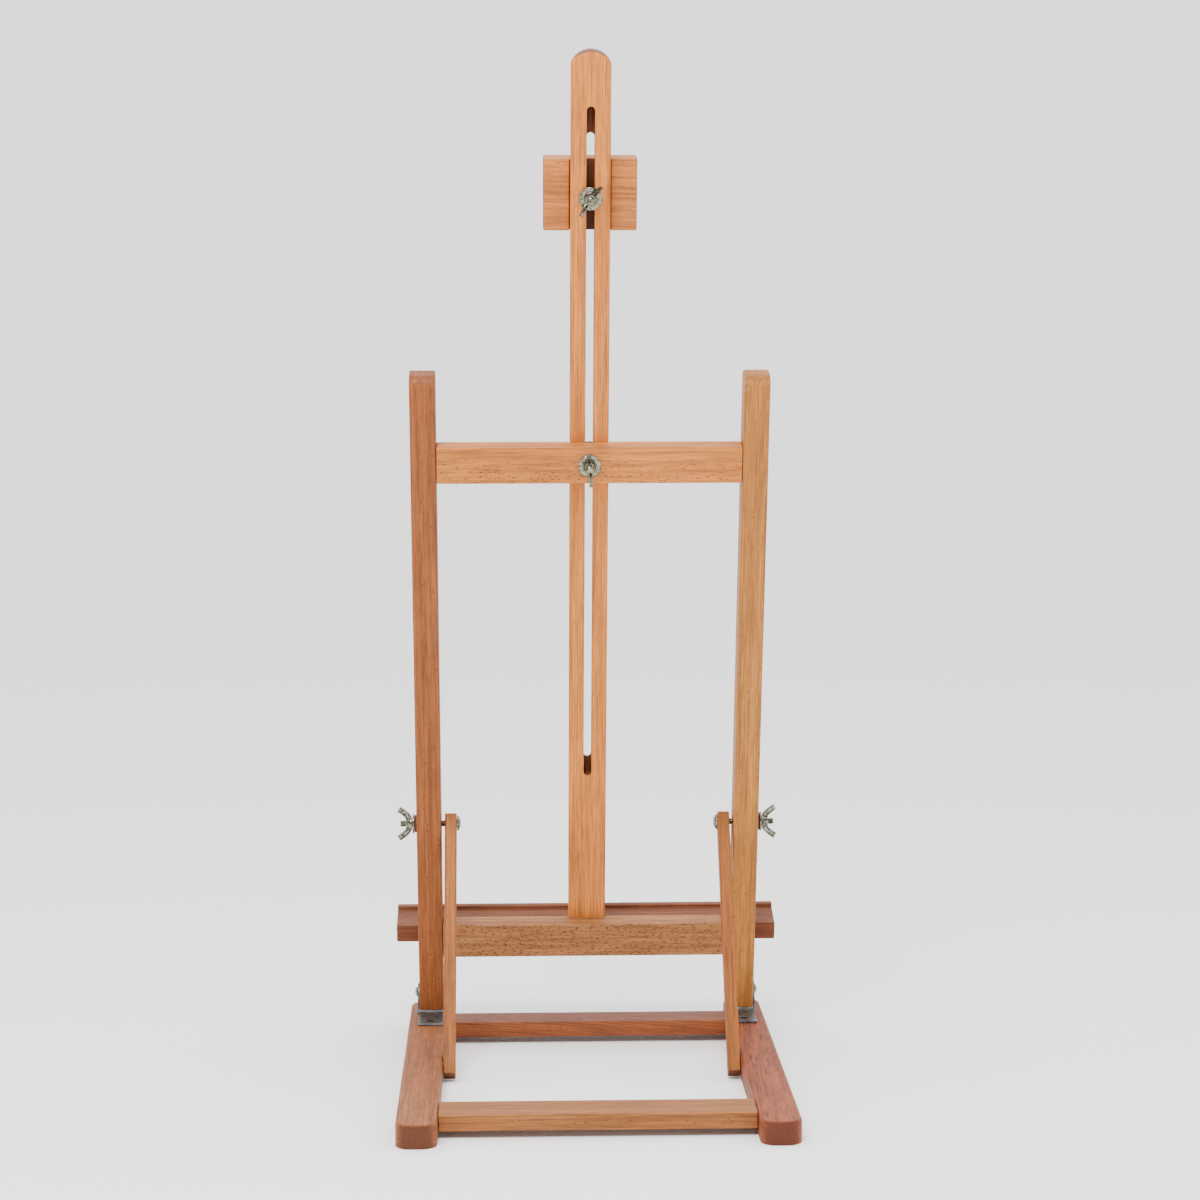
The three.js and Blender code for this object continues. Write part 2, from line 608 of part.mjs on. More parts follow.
// A fitting built along +Z, turned to run outwards on the given side from its seat.
function sideFitting(name, geometry, material, side, seat, twist = 0) {
  const made = mesh(name, geometry, material);
  made.rotation.set(twist, side * Math.PI / 2, 0);
  return placed(made, side * seat, 0, STRUT_REACH);
}

function makeStrut(name, side) {
  const strut = new THREE.Group();
  const wood = side < 0 ? BEECH_WARM : BEECH_LIGHT;
  strut.add(mesh(`${name}_strut`, strutGeometry(side), wood));
  strut.add(sideFitting(`${name}_side_bolt`, carriageBolt(SIDE_BOLT_LENGTH), ZINC, side, SIDE_BOLT_SEAT));
  const disc = washerGeometry(FIBRE_DISC);
  strut.add(sideFitting(`${name}_fibre_disc`, disc, FIBRE, side, POST_OUTER + GAP));
  const washer = washerGeometry(SIDE_WASHER);
  strut.add(sideFitting(`${name}_side_washer`, washer, ZINC, side, SIDE_WASHER_SEAT));
  strut.add(sideFitting(`${name}_side_wing_nut`, wingNut, ZINC, side, SIDE_NUT_SEAT + GAP, -STRUT_ANGLE));
  strut.rotation.x = STRUT_ANGLE;
  return placed(strut, 0, STRUT_PIVOT.fromFront - FOOT.length / 2, STRUT_PIVOT.height);
}

// ---- Assembly ----

const easel = new THREE.Group();
easel.add(makeBase(), makeFrame(), makeStrut('left', -1), makeStrut('right', 1));

// The tray reaches a little further forward than the feet, so the origin is moved to the middle.
const bounds = new THREE.Box3().setFromObject(easel, true);
easel.position.y = -(bounds.min.y + bounds.max.y) / 2;

export default easel;
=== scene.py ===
"""A tabletop artist's easel: beech boards, zinc-plated fittings, fibre discs and dark screws."""
import json
import math

import bmesh
import bpy
from mathutils import Matrix, Vector


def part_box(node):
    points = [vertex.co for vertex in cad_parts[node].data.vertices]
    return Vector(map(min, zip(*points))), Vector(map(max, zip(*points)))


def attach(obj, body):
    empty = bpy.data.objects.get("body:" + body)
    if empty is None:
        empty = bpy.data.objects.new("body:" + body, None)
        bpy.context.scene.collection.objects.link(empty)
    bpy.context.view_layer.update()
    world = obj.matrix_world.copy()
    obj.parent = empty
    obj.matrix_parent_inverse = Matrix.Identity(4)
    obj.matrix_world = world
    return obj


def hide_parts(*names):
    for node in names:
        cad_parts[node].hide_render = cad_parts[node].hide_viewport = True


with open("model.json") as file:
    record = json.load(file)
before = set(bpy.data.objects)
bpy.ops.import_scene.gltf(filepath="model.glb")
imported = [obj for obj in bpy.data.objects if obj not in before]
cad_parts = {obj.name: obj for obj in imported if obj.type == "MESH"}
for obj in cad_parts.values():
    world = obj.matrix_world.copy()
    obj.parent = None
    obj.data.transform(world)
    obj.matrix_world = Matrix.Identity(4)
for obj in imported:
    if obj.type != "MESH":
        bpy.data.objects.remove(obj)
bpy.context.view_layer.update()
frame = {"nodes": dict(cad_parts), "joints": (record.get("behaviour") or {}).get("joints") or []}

# ---- Feet ----
# Two beech boards that lie on the table and carry everything else. They are sawn to 34 by 20 mm,
# rounded to 13 mm at the corners on a spindle, sanded, and wiped with one coat of clear lacquer.

MM = 0.001
FOOT_EDGE = 2.2 * MM
END_GRAIN = "#4a2010"
RING_GAP = 2.4 * MM
RING_BEND = 7.0 * MM
BEECH_IOR = 1.45
BEECH_GLOSS = 0.3
LACQUER = 0.04
LACQUER_ROUGHNESS = 0.35
WELD = 1e-6
FLAT_ENOUGH = math.radians(0.5)
BEND_TO_EASE = 0.7
SHARP_BEND = math.radians(35)
SMALL_HOLE = 60 * MM
LENGTH_DIGITS = 5


def linear(colour):
    """An sRGB hex colour as linear red, green, blue and full alpha."""
    channels = [int(colour[start:start + 2], 16) / 255 for start in (1, 3, 5)]
    curved = [c / 12.92 if c <= 0.04045 else ((c + 0.055) / 1.055) ** 2.4 for c in channels]
    return (*curved, 1.0)


def add(tree, kind, settings=None, inputs=None):
    """Adds one node, with its settings, and gives each input a value or a link."""
    node = tree.nodes.new(kind)
    for name, value in (settings or {}).items():
        setattr(node, name, value)
    for name, value in (inputs or {}).items():
        if isinstance(value, bpy.types.Node):
            value = value.outputs[0]
        if isinstance(value, bpy.types.NodeSocket):
            tree.links.new(value, node.inputs[name])
        else:
            node.inputs[name].default_value = value
    return node


def new_material(name):
    """An empty material with a shader joined to its output."""
    material = bpy.data.materials.new(name)
    material.use_nodes = True
    tree = material.node_tree
    tree.nodes.clear()
    shader = add(tree, "ShaderNodeBsdfPrincipled")
    add(tree, "ShaderNodeOutputMaterial", inputs={"Surface": shader})
    return material, tree, shader


def beech(name, node, grain, heart, colours, flecks, shift=0.0, rings=0.6, ends=0.8,
          ray_cell=(9, 1.5, 5)):
    """Sanded beech under one thin coat of clear lacquer, for the board that stands for a CAD node.

    The eye gets straight year rings, fine fibres, and brown rays: short dashes on a face that
    looks at the heart of the tree, and faint ribbons on a face beside it. grain is the way the
    fibres run, and heart is the way from the middle of the board to the heart of the tree, in
    millimetres. colours are the pale wood, the deep wood and the rays. flecks is how many of the
    rays show, shift slides the pattern along the grain, rings is how dark the late wood is, and
    ends is how far a face sawn across the grain takes the end colour.
    """
    material, tree, shader = new_material(name)
    pale, deep, fleck = (linear(colour) for colour in colours)
    along = Vector(grain).normalized()
    outward = along * along.dot(heart) - Vector(heart)
    reach = outward.length * MM
    outward.normalize()
    turn = Matrix((outward, along.cross(outward), along)).transposed().to_euler()
    low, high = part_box(node)
    middle = (Vector(low) + Vector(high)) / 2
    place = add(tree, "ShaderNodeTexCoord")
    board = add(tree, "ShaderNodeMapping", {"vector_type": "TEXTURE"}, {
        "Vector": place.outputs["Object"], "Location": middle + along * shift, "Rotation": turn})

    # Places in the tree: distance from the heart, way round it, and height up the trunk.
    split = add(tree, "ShaderNodeSeparateXYZ", inputs={"Vector": board})
    aside = add(tree, "ShaderNodeMath", {"operation": "ADD"}, {0: split.outputs["X"], 1: reach})
    from_heart = add(tree, "ShaderNodeCombineXYZ", inputs={"X": aside, "Y": split.outputs["Y"]})
    out = add(tree, "ShaderNodeVectorMath", {"operation": "LENGTH"}, {0: from_heart})
    angle = add(tree, "ShaderNodeMath", {"operation": "ARCTAN2"}, {0: split.outputs["Y"], 1: aside})
    around = add(tree, "ShaderNodeMath", {"operation": "MULTIPLY"}, {0: angle, 1: reach})
    trunk = add(tree, "ShaderNodeCombineXYZ", inputs={
        "X": out.outputs["Value"], "Y": around, "Z": split.outputs["Z"]})

    # Slow drift of colour: patches about 25 mm across and 200 mm long.
    drift_place = add(tree, "ShaderNodeMapping", inputs={"Vector": trunk, "Scale": (40, 40, 5)})
    drift = add(tree, "ShaderNodeTexNoise", inputs={
        "Vector": drift_place, "Scale": 1.0, "Detail": 2.0, "Roughness": 0.5})
    drift_share = add(tree, "ShaderNodeMapRange", inputs={
        "Value": drift.outputs["Fac"], "From Min": 0.35, "From Max": 0.65,
        "To Min": 0.1, "To Max": 0.7})

    # Year rings 2.4 mm apart, bent by a noise that is long up the trunk. Each darkens to its rim.
    bend_place = add(tree, "ShaderNodeMapping", inputs={"Vector": trunk, "Scale": (50, 50, 7)})
    bend = add(tree, "ShaderNodeTexNoise", inputs={
        "Vector": bend_place, "Scale": 1.0, "Detail": 2.0})
    ring_place = add(tree, "ShaderNodeMath", {"operation": "MULTIPLY_ADD"}, {
        0: bend.outputs["Fac"], 1: RING_BEND, 2: out.outputs["Value"]})
    ring_turns = add(tree, "ShaderNodeMath", {"operation": "MULTIPLY"}, {
        0: ring_place, 1: 1 / RING_GAP})
    ring = add(tree, "ShaderNodeMath", {"operation": "FRACT"}, {0: ring_turns})
    late_wood = add(tree, "ShaderNodeMapRange", {"interpolation_type": "SMOOTHSTEP"}, {
        "Value": ring, "From Min": 0.35, "From Max": 0.95, "To Min": 0.0, "To Max": rings})

    # Fibres: real ones are 0.02 mm wide. They are drawn 1 mm wide, in bundles of 3 mm, to show.
    bundle_place = add(tree, "ShaderNodeMapping", inputs={"Vector": trunk, "Scale": (330, 330, 11)})
    bundle = add(tree, "ShaderNodeTexNoise", inputs={
        "Vector": bundle_place, "Scale": 1.0, "Detail": 2.0, "Roughness": 0.5})
    fibre_place = add(tree, "ShaderNodeMapping", inputs={
        "Vector": trunk, "Scale": (1000, 1000, 50)})
    fibre = add(tree, "ShaderNodeTexNoise", inputs={
        "Vector": fibre_place, "Scale": 1.0, "Detail": 3.0, "Roughness": 0.65})
    strands = add(tree, "ShaderNodeMath", {"operation": "ADD"}, {
        0: bundle.outputs["Fac"], 1: fibre.outputs["Fac"]})

    # Rays: one in each cell of ray_cell, given in millimetres out, round and up. They fill half of
    # its length. Real ones are 0.1 mm thick, and these are drawn 0.7 mm thick or more to show.
    ray_place = add(tree, "ShaderNodeMapping", inputs={
        "Vector": trunk, "Scale": [1 / (size * MM) for size in ray_cell]})
    ray_cells = add(tree, "ShaderNodeTexVoronoi", inputs={
        "Vector": ray_place, "Scale": 1.0, "Randomness": 1.0})
    ray_core = add(tree, "ShaderNodeMapRange", {"interpolation_type": "SMOOTHSTEP"}, {
        "Value": ray_cells.outputs["Distance"], "From Min": 0.14, "From Max": 0.40,
        "To Min": 1.0, "To Max": 0.0})
    ray_pick = add(tree, "ShaderNodeSeparateColor", inputs={"Color": ray_cells.outputs["Color"]})
    ray_kept = add(tree, "ShaderNodeMapRange", inputs={
        "Value": ray_pick.outputs["Red"], "From Min": 1.0 - flecks, "From Max": 1.0 - flecks * 0.4,
        "To Min": 0.0, "To Max": 1.0})
    toward_heart = add(tree, "ShaderNodeVectorMath", {"operation": "DOT_PRODUCT"}, {
        0: place.outputs["Normal"], 1: outward})
    flat_sawn = add(tree, "ShaderNodeMath", {"operation": "ABSOLUTE"}, {
        0: toward_heart.outputs["Value"]})
    ray_strength = add(tree, "ShaderNodeMapRange", inputs={
        "Value": flat_sawn, "From Min": 0.2, "From Max": 0.9, "To Min": 0.2, "To Max": 1.0})
    ray_shape = add(tree, "ShaderNodeMath", {"operation": "MULTIPLY"}, {0: ray_core, 1: ray_kept})
    ray = add(tree, "ShaderNodeMath", {"operation": "MULTIPLY"}, {0: ray_shape, 1: ray_strength})

    # Colour: drift first, then rings, fibres and rays over it.
    base = add(tree, "ShaderNodeMix", {"data_type": "RGBA"}, {0: drift_share, 6: pale, 7: deep})
    ringed = add(tree, "ShaderNodeMix", {"data_type": "RGBA"}, {
        0: late_wood, 6: base.outputs[2], 7: deep})
    strand_tone = add(tree, "ShaderNodeMapRange", inputs={
        "Value": strands, "From Min": 0.7, "From Max": 1.3, "To Min": 1.42, "To Max": 0.58})
    fibred = add(tree, "ShaderNodeVectorMath", {"operation": "SCALE"}, {
        0: ringed.outputs[2], "Scale": strand_tone})
    flecked = add(tree, "ShaderNodeMix", {"data_type": "RGBA"}, {0: ray, 6: fibred, 7: fleck})

    # Faces sawn across the grain drink the lacquer and turn darker and redder.
    across = add(tree, "ShaderNodeVectorMath", {"operation": "DOT_PRODUCT"}, {
        0: place.outputs["Normal"], 1: along})
    facing = add(tree, "ShaderNodeMath", {"operation": "ABSOLUTE"}, {0: across.outputs["Value"]})
    end_share = add(tree, "ShaderNodeMapRange", {"interpolation_type": "SMOOTHSTEP"}, {
        "Value": facing, "From Min": 0.4, "From Max": 0.9, "To Min": 0.0, "To Max": ends})
    ended = add(tree, "ShaderNodeMix", {"data_type": "RGBA"}, {
        0: end_share, 6: flecked.outputs[2], 7: linear(END_GRAIN)})

    # The lacquer is thin, so the fibres still roughen the shine, and the rays lie a little low.
    rough = add(tree, "ShaderNodeMapRange", inputs={
        "Value": fibre.outputs["Fac"], "From Min": 0.3, "From Max": 0.7,
        "To Min": 0.52, "To Max": 0.68})
    relief = add(tree, "ShaderNodeMath", {"operation": "MULTIPLY_ADD"}, {
        0: ray, 1: -0.6, 2: fibre.outputs["Fac"]})
    bump = add(tree, "ShaderNodeBump", inputs={
        "Height": relief, "Strength": 0.3, "Distance": 0.06 * MM})
    tree.links.new(ended.outputs[2], shader.inputs["Base Color"])
    tree.links.new(rough.outputs[0], shader.inputs["Roughness"])
    tree.links.new(bump.outputs[0], shader.inputs["Normal"])
    shader.inputs["IOR"].default_value = BEECH_IOR
    shader.inputs["Specular IOR Level"].default_value = BEECH_GLOSS
    shader.inputs["Coat Weight"].default_value = LACQUER
    shader.inputs["Coat Roughness"].default_value = LACQUER_ROUGHNESS
    return material


def finished(holder, mesh):
    """Gives a working object its final mesh in place of its modifiers."""
    holder.modifiers.clear()
    holder.data = mesh
    return holder


def evaluated_mesh(holder):
    """The mesh that an object's modifiers make."""
    graph = bpy.context.evaluated_depsgraph_get()
    return bpy.data.meshes.new_from_object(holder.evaluated_get(graph), depsgraph=graph)


def edge_islands(edges):
    """Groups of edges that are joined at their ends."""
    left = set(edges)
    islands = []
    while left:
        stack = [left.pop()]
        island = []
        while stack:
            edge = stack.pop()
            island.append(edge)
            for corner in edge.verts:
                touching = [other for other in corner.link_edges if other in left]
                left.difference_update(touching)
                stack.extend(touching)
        islands.append(island)
    return islands


def eased(node, width, inner_share=0.35, segments=3):
    """A copy of a CAD solid whose edges are sanded round, to a width.

    The longest run of edges is the outer one and gets the whole width. Where two are as long, as
    on a foot, the upper one gets it. The other rims and those of slots get inner_share of it, and
    drilled holes stay crisp.
    """
    mesh = bpy.data.meshes.new(node)
    work = bmesh.new()
    work.from_mesh(frame["nodes"][node].data)
    bmesh.ops.remove_doubles(work, verts=work.verts, dist=WELD)
    bmesh.ops.dissolve_limit(
        work, angle_limit=FLAT_ENOUGH, verts=work.verts, edges=work.edges)
    bmesh.ops.triangulate(work, faces=[face for face in work.faces if len(face.verts) > 4])
    layer = work.edges.layers.float.new("bevel_weight_edge")
    corners = [edge for edge in work.edges
               if edge.is_manifold and edge.calc_face_angle_signed() > BEND_TO_EASE]
    runs = []
    for island in edge_islands(corners):
        length = sum(edge.calc_length() for edge in island)
        top = max(corner.co.z for edge in island for corner in edge.verts)
        runs.append((round(length, LENGTH_DIGITS), round(top, LENGTH_DIGITS), island))
    runs.sort(key=lambda run: run[:2], reverse=True)
    for rank, (length, _, island) in enumerate(runs):
        if length < SMALL_HOLE:
            continue
        for edge in island:
            edge[layer] = 1.0 if rank == 0 else inner_share
    work.to_mesh(mesh)
    work.free()
    mesh.polygons.foreach_set("use_smooth", [True] * len(mesh.polygons))
    mesh.set_sharp_from_angle(angle=SHARP_BEND)
    piece = bpy.data.objects.new(node + "_shown", mesh)
    bpy.context.scene.collection.objects.link(piece)
    bevel = piece.modifiers.new("edges", "BEVEL")
    bevel.limit_method = "WEIGHT"
    bevel.width = width
    bevel.segments = segments
    bevel.use_clamp_overlap = False
    bevel.loop_slide = False
    normals = piece.modifiers.new("normals", "WEIGHTED_NORMAL")
    normals.keep_sharp = True
    return finished(piece, evaluated_mesh(piece))


def fitted(piece, node, body, material):
    """Puts a piece in the place of its CAD solid, on that solid's body, with its material."""
    piece.data.materials.clear()
    piece.data.materials.append(material)
    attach(piece, body)
    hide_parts(node)


ACROSS = Vector((1, 0, 0))
BACKWARD = Vector((0, 1, 0))
# The right foot is a quiet brown board. The left one is redder, with long dark dashes on its top.
right_foot_wood = beech(
    "beech, right foot", "right_foot", BACKWARD, (60, 0, -70),
    ("#875023", "#733b15", "#582609"), flecks=0.25, shift=0.31)
left_foot_wood = beech(
    "beech, left foot", "left_foot", Vector((0.05, 1, 0)), (-20, 0, -110),
    ("#86401c", "#6f3011", "#371208"), flecks=0.5, shift=0.12, ray_cell=(14, 3.0, 44))
fitted(eased("right_foot", FOOT_EDGE), "right_foot", "base", right_foot_wood)
fitted(eased("left_foot", FOOT_EDGE), "left_foot", "base", left_foot_wood)

# ---- Rails ----
# Two beech boards 14 mm thick that join the feet, flush with their tops. The rear one is pale, and
# the front one is a redder board whose grain runs out at a slant.

RAIL_EDGE = 1.0 * MM
rear_rail_wood = beech(
    "beech, rear rail", "rear_rail", ACROSS, (0, 60, -60),
    ("#925b2e", "#824c21", "#673313"), flecks=0.3, shift=0.4)
front_rail_wood = beech(
    "beech, front rail", "front_rail", Vector((1, 0.02, 0.09)), (0, 30, -90),
    ("#844622", "#6c3313", "#53210b"), flecks=0.25, shift=0.9, rings=0.8)
fitted(eased("rear_rail", RAIL_EDGE), "rear_rail", "base", rear_rail_wood)
fitted(eased("front_rail", RAIL_EDGE), "front_rail", "base", front_rail_wood)

# ---- Hinge brackets, their screws and rivets ----
# A channel of zinc-plated sheet steel on each foot holds the foot of a post between two ears. Two
# dark countersunk screws fix it, and a rivet with domed heads goes through the ears and the post.

ZINC_EDGE = 0.25 * MM
UP = Vector((0, 0, 1))
SIDES = ("left", "right")
RIVET_HEAD = 4.7
DULL_SPOT_ROUGHNESS = 0.16
POLE_WELD = 0.002 * MM
CROSS_BLADE = 0.3
TURNED_SHARP_BEND = math.radians(32)


def plated_steel(name, colour, dull, roughness, spot_size, metallic=1.0):
    """Steel under a thin coat.

    The eye gets a soft mirror with cloudy duller spots and fine draw marks. spot_size is the
    distance from spot to spot.
    """
    material, tree, shader = new_material(name)
    place = add(tree, "ShaderNodeTexCoord")
    clouds = add(tree, "ShaderNodeTexNoise", inputs={
        "Vector": place.outputs["Object"], "Scale": 1 / spot_size, "Detail": 4.0, "Roughness": 0.6})
    share = add(tree, "ShaderNodeMapRange", inputs={
        "Value": clouds.outputs["Fac"], "From Min": 0.4, "From Max": 0.66})
    tone = add(tree, "ShaderNodeMix", {"data_type": "RGBA"}, {
        0: share, 6: linear(colour), 7: linear(dull)})
    # Draw marks 0.3 mm apart, which real plating has finer than this.
    marks_place = add(tree, "ShaderNodeMapping", inputs={
        "Vector": place.outputs["Object"], "Scale": (3300, 600, 3300)})
    marks = add(tree, "ShaderNodeTexNoise", inputs={
        "Vector": marks_place, "Scale": 1.0, "Detail": 2.0})
    rough = add(tree, "ShaderNodeMapRange", inputs={
        "Value": share, "To Min": roughness, "To Max": roughness + DULL_SPOT_ROUGHNESS})
    bump = add(tree, "ShaderNodeBump", inputs={
        "Height": marks.outputs["Fac"], "Strength": 0.2, "Distance": 0.02 * MM})
    tree.links.new(tone.outputs[2], shader.inputs["Base Color"])
    tree.links.new(rough.outputs[0], shader.inputs["Roughness"])
    tree.links.new(bump.outputs[0], shader.inputs["Normal"])
    shader.inputs["Metallic"].default_value = metallic
    return material


def new_tree(name, sockets):
    """A node tree with a geometry input and output, and a named input for each of its sizes."""
    tree = bpy.data.node_groups.new(name, "GeometryNodeTree")
    tree.interface.new_socket("Geometry", in_out="INPUT", socket_type="NodeSocketGeometry")
    for label, kind in sockets.items():
        tree.interface.new_socket(label, in_out="INPUT", socket_type="NodeSocket" + kind)
    tree.interface.new_socket("Geometry", in_out="OUTPUT", socket_type="NodeSocketGeometry")
    return tree, add(tree, "NodeGroupInput").outputs


TURNED_SIZES = {
    "Profile": "Object", "Rows": "Int", "Around": "Int", "Pitch": "Float", "Thread Depth": "Float",
    "Thread Start": "Float", "Thread End": "Float", "Flutes": "Float", "Flute Depth": "Float"}


def turned_part_tree():
    """Spins a profile round the Z axis, and cuts a screw thread or flutes along part of it."""
    tree, sizes = new_tree("turned part", TURNED_SIZES)
    sheet = add(tree, "GeometryNodeMeshGrid", inputs={
        "Size X": 1.0, "Size Y": 1.0, "Vertices X": sizes["Rows"], "Vertices Y": sizes["Around"]})
    sheet_place = add(tree, "GeometryNodeInputPosition")
    split = add(tree, "ShaderNodeSeparateXYZ", inputs={"Vector": sheet_place})
    along = add(tree, "ShaderNodeMath", {"operation": "ADD"}, {0: split.outputs["X"], 1: 0.5})
    around = add(tree, "ShaderNodeMath", {"operation": "SUBTRACT"}, {0: 0.5, 1: split.outputs["Y"]})
    drawn = add(tree, "GeometryNodeObjectInfo", inputs={"Object": sizes["Profile"]})
    line = add(tree, "GeometryNodeMeshToCurve", inputs={"Mesh": drawn.outputs["Geometry"]})
    point = add(tree, "GeometryNodeSampleCurve", {"mode": "FACTOR"}, {
        "Curves": line, "Factor": along})
    at = add(tree, "ShaderNodeSeparateXYZ", inputs={"Vector": point.outputs["Position"]})

    # The thread is one ridge that climbs by its pitch in each turn, and fades in at both ends.
    climbed = add(tree, "ShaderNodeMath", {"operation": "DIVIDE"}, {
        0: at.outputs["Z"], 1: sizes["Pitch"]})
    wound = add(tree, "ShaderNodeMath", {"operation": "SUBTRACT"}, {0: climbed, 1: around})
    phase = add(tree, "ShaderNodeMath", {"operation": "FRACT"}, {0: wound})
    flank = add(tree, "ShaderNodeMath", {"operation": "MULTIPLY_ADD"}, {0: phase, 1: 2.0, 2: -1.0})
    ridge = add(tree, "ShaderNodeMath", {"operation": "ABSOLUTE"}, {0: flank})
    start_end = add(tree, "ShaderNodeMath", {"operation": "ADD"}, {
        0: sizes["Thread Start"], 1: sizes["Pitch"]})
    run_in = add(tree, "ShaderNodeMapRange", inputs={
        "Value": at.outputs["Z"], "From Min": sizes["Thread Start"], "From Max": start_end})
    run_out_start = add(tree, "ShaderNodeMath", {"operation": "SUBTRACT"}, {
        0: sizes["Thread End"], 1: sizes["Pitch"]})
    run_out = add(tree, "ShaderNodeMapRange", inputs={
        "Value": at.outputs["Z"], "From Min": run_out_start, "From Max": sizes["Thread End"],
        "To Min": 1.0, "To Max": 0.0})
    threaded = add(tree, "ShaderNodeMath", {"operation": "MULTIPLY"}, {0: run_in, 1: run_out})
    ridge_cut = add(tree, "ShaderNodeMath", {"operation": "MULTIPLY"}, {
        0: ridge, 1: sizes["Thread Depth"]})

    # Flutes are a wave round the part.
    turn = add(tree, "ShaderNodeMath", {"operation": "MULTIPLY"}, {0: around, 1: math.tau})
    waves = add(tree, "ShaderNodeMath", {"operation": "MULTIPLY"}, {0: turn, 1: sizes["Flutes"]})
    wave = add(tree, "ShaderNodeMath", {"operation": "COSINE"}, {0: waves})
    dip = add(tree, "ShaderNodeMath", {"operation": "MULTIPLY_ADD"}, {0: wave, 1: 0.5, 2: 0.5})
    both_cuts = add(tree, "ShaderNodeMath", {"operation": "MULTIPLY_ADD"}, {
        0: dip, 1: sizes["Flute Depth"], 2: ridge_cut})
    cut = add(tree, "ShaderNodeMath", {"operation": "MULTIPLY"}, {0: both_cuts, 1: threaded})
    narrowed = add(tree, "ShaderNodeMath", {"operation": "SUBTRACT"}, {0: at.outputs["X"], 1: cut})

    # The profile is spun to its place round the axis, and the seam and both poles are closed.
    radius = add(tree, "ShaderNodeMath", {"operation": "MAXIMUM"}, {0: narrowed, 1: 0.0})
    cosine = add(tree, "ShaderNodeMath", {"operation": "COSINE"}, {0: turn})
    sine = add(tree, "ShaderNodeMath", {"operation": "SINE"}, {0: turn})
    spun_x = add(tree, "ShaderNodeMath", {"operation": "MULTIPLY"}, {0: cosine, 1: radius})
    spun_y = add(tree, "ShaderNodeMath", {"operation": "MULTIPLY"}, {0: sine, 1: radius})
    spun = add(tree, "ShaderNodeCombineXYZ", inputs={
        "X": spun_x, "Y": spun_y, "Z": at.outputs["Z"]})
    rolled = add(tree, "GeometryNodeSetPosition", inputs={"Geometry": sheet, "Position": spun})
    closed = add(tree, "GeometryNodeMergeByDistance", inputs={
        "Geometry": rolled, "Distance": POLE_WELD})
    add(tree, "NodeGroupOutput", inputs={0: closed})
    return tree


turned_part = turned_part_tree()


def set_out(tree, sizes, part):
    """Ends a tree: one copy of the part at each point, turned to the point's axis."""
    axis = add(tree, "GeometryNodeInputNamedAttribute", {"data_type": "FLOAT_VECTOR"}, {
        "Name": "axis"})
    aim = add(tree, "FunctionNodeAlignRotationToVector", {"axis": "Z"}, {"Vector": axis})
    spin = add(tree, "FunctionNodeAxisAngleToRotation", inputs={
        "Axis": UP, "Angle": sizes["Twist"]})
    aimed = add(tree, "FunctionNodeRotateRotation", {"rotation_space": "LOCAL"}, {
        "Rotation": aim, "Rotate By": spin})
    copies = add(tree, "GeometryNodeInstanceOnPoints", inputs={
        "Points": sizes["Geometry"], "Instance": part, "Rotation": aimed})
    real = add(tree, "GeometryNodeRealizeInstances", inputs={"Geometry": copies})
    dressed = add(tree, "GeometryNodeSetMaterial", inputs={
        "Geometry": real, "Material": sizes["Material"]})
    add(tree, "NodeGroupOutput", inputs={0: dressed})
    return tree


def fastener_tree():
    """A turned part, with a tapered cross recess in its head if it is driven."""
    tree, sizes = new_tree("fastener", {
        **TURNED_SIZES, "Recess Radius": "Float", "Recess Depth": "Float", "Twist": "Float",
        "Material": "Material"})
    part = add(tree, "GeometryNodeGroup", {"node_tree": turned_part},
               {label: sizes[label] for label in TURNED_SIZES})
    top = add(tree, "ShaderNodeMath", {"operation": "MULTIPLY"}, {0: sizes["Recess Depth"], 1: 2.0})
    blade = add(tree, "GeometryNodeMeshCone", inputs={
        "Vertices": 4, "Radius Top": 0.1 * MM, "Radius Bottom": sizes["Recess Radius"],
        "Depth": top})
    thin = add(tree, "GeometryNodeTransform", inputs={
        "Geometry": blade, "Rotation": (math.pi, 0, 0), "Scale": (1, CROSS_BLADE, 1)})
    crossing = add(tree, "GeometryNodeTransform", inputs={
        "Geometry": thin, "Rotation": (0, 0, math.pi / 2)})
    both = add(tree, "GeometryNodeJoinGeometry")
    tree.links.new(thin.outputs[0], both.inputs[0])
    tree.links.new(crossing.outputs[0], both.inputs[0])
    driven = add(tree, "GeometryNodeMeshBoolean", {
        "operation": "DIFFERENCE", "solver": "MANIFOLD"}, {"Mesh 1": part})
    tree.links.new(both.outputs[0], driven.inputs["Mesh 2"])
    is_driven = add(tree, "FunctionNodeCompare", {"operation": "GREATER_THAN"}, {
        0: sizes["Recess Radius"], 1: 0.0})
    choice = add(tree, "GeometryNodeSwitch", {"input_type": "GEOMETRY"}, {
        "Switch": is_driven, "False": part, "True": driven})
    return set_out(tree, sizes, choice)


fastener = fastener_tree()


def drawn_line(name, points):
    """A line of (radius, height) points in millimetres, as the profile for a turned part."""
    mesh = bpy.data.meshes.new(name)
    mesh.from_pydata([(radius * MM, 0, height * MM) for radius, height in points],
                     [(index, index + 1) for index in range(len(points) - 1)], [])
    return bpy.data.objects.new(name, mesh)


def cad_axis(node, axis):
    """Where a turned CAD solid begins on its own axis, and its length."""
    corners = [corner.co for corner in frame["nodes"][node].data.vertices]
    side = axis.orthogonal().normalized()
    sides = (side, axis.cross(side))
    centre = Vector((0, 0, 0))
    for direction in sides:
        reach = [corner.dot(direction) for corner in corners]
        centre += direction * (min(reach) + max(reach)) / 2
    reach = [corner.dot(axis) for corner in corners]
    return centre + axis * min(reach), max(reach) - min(reach)


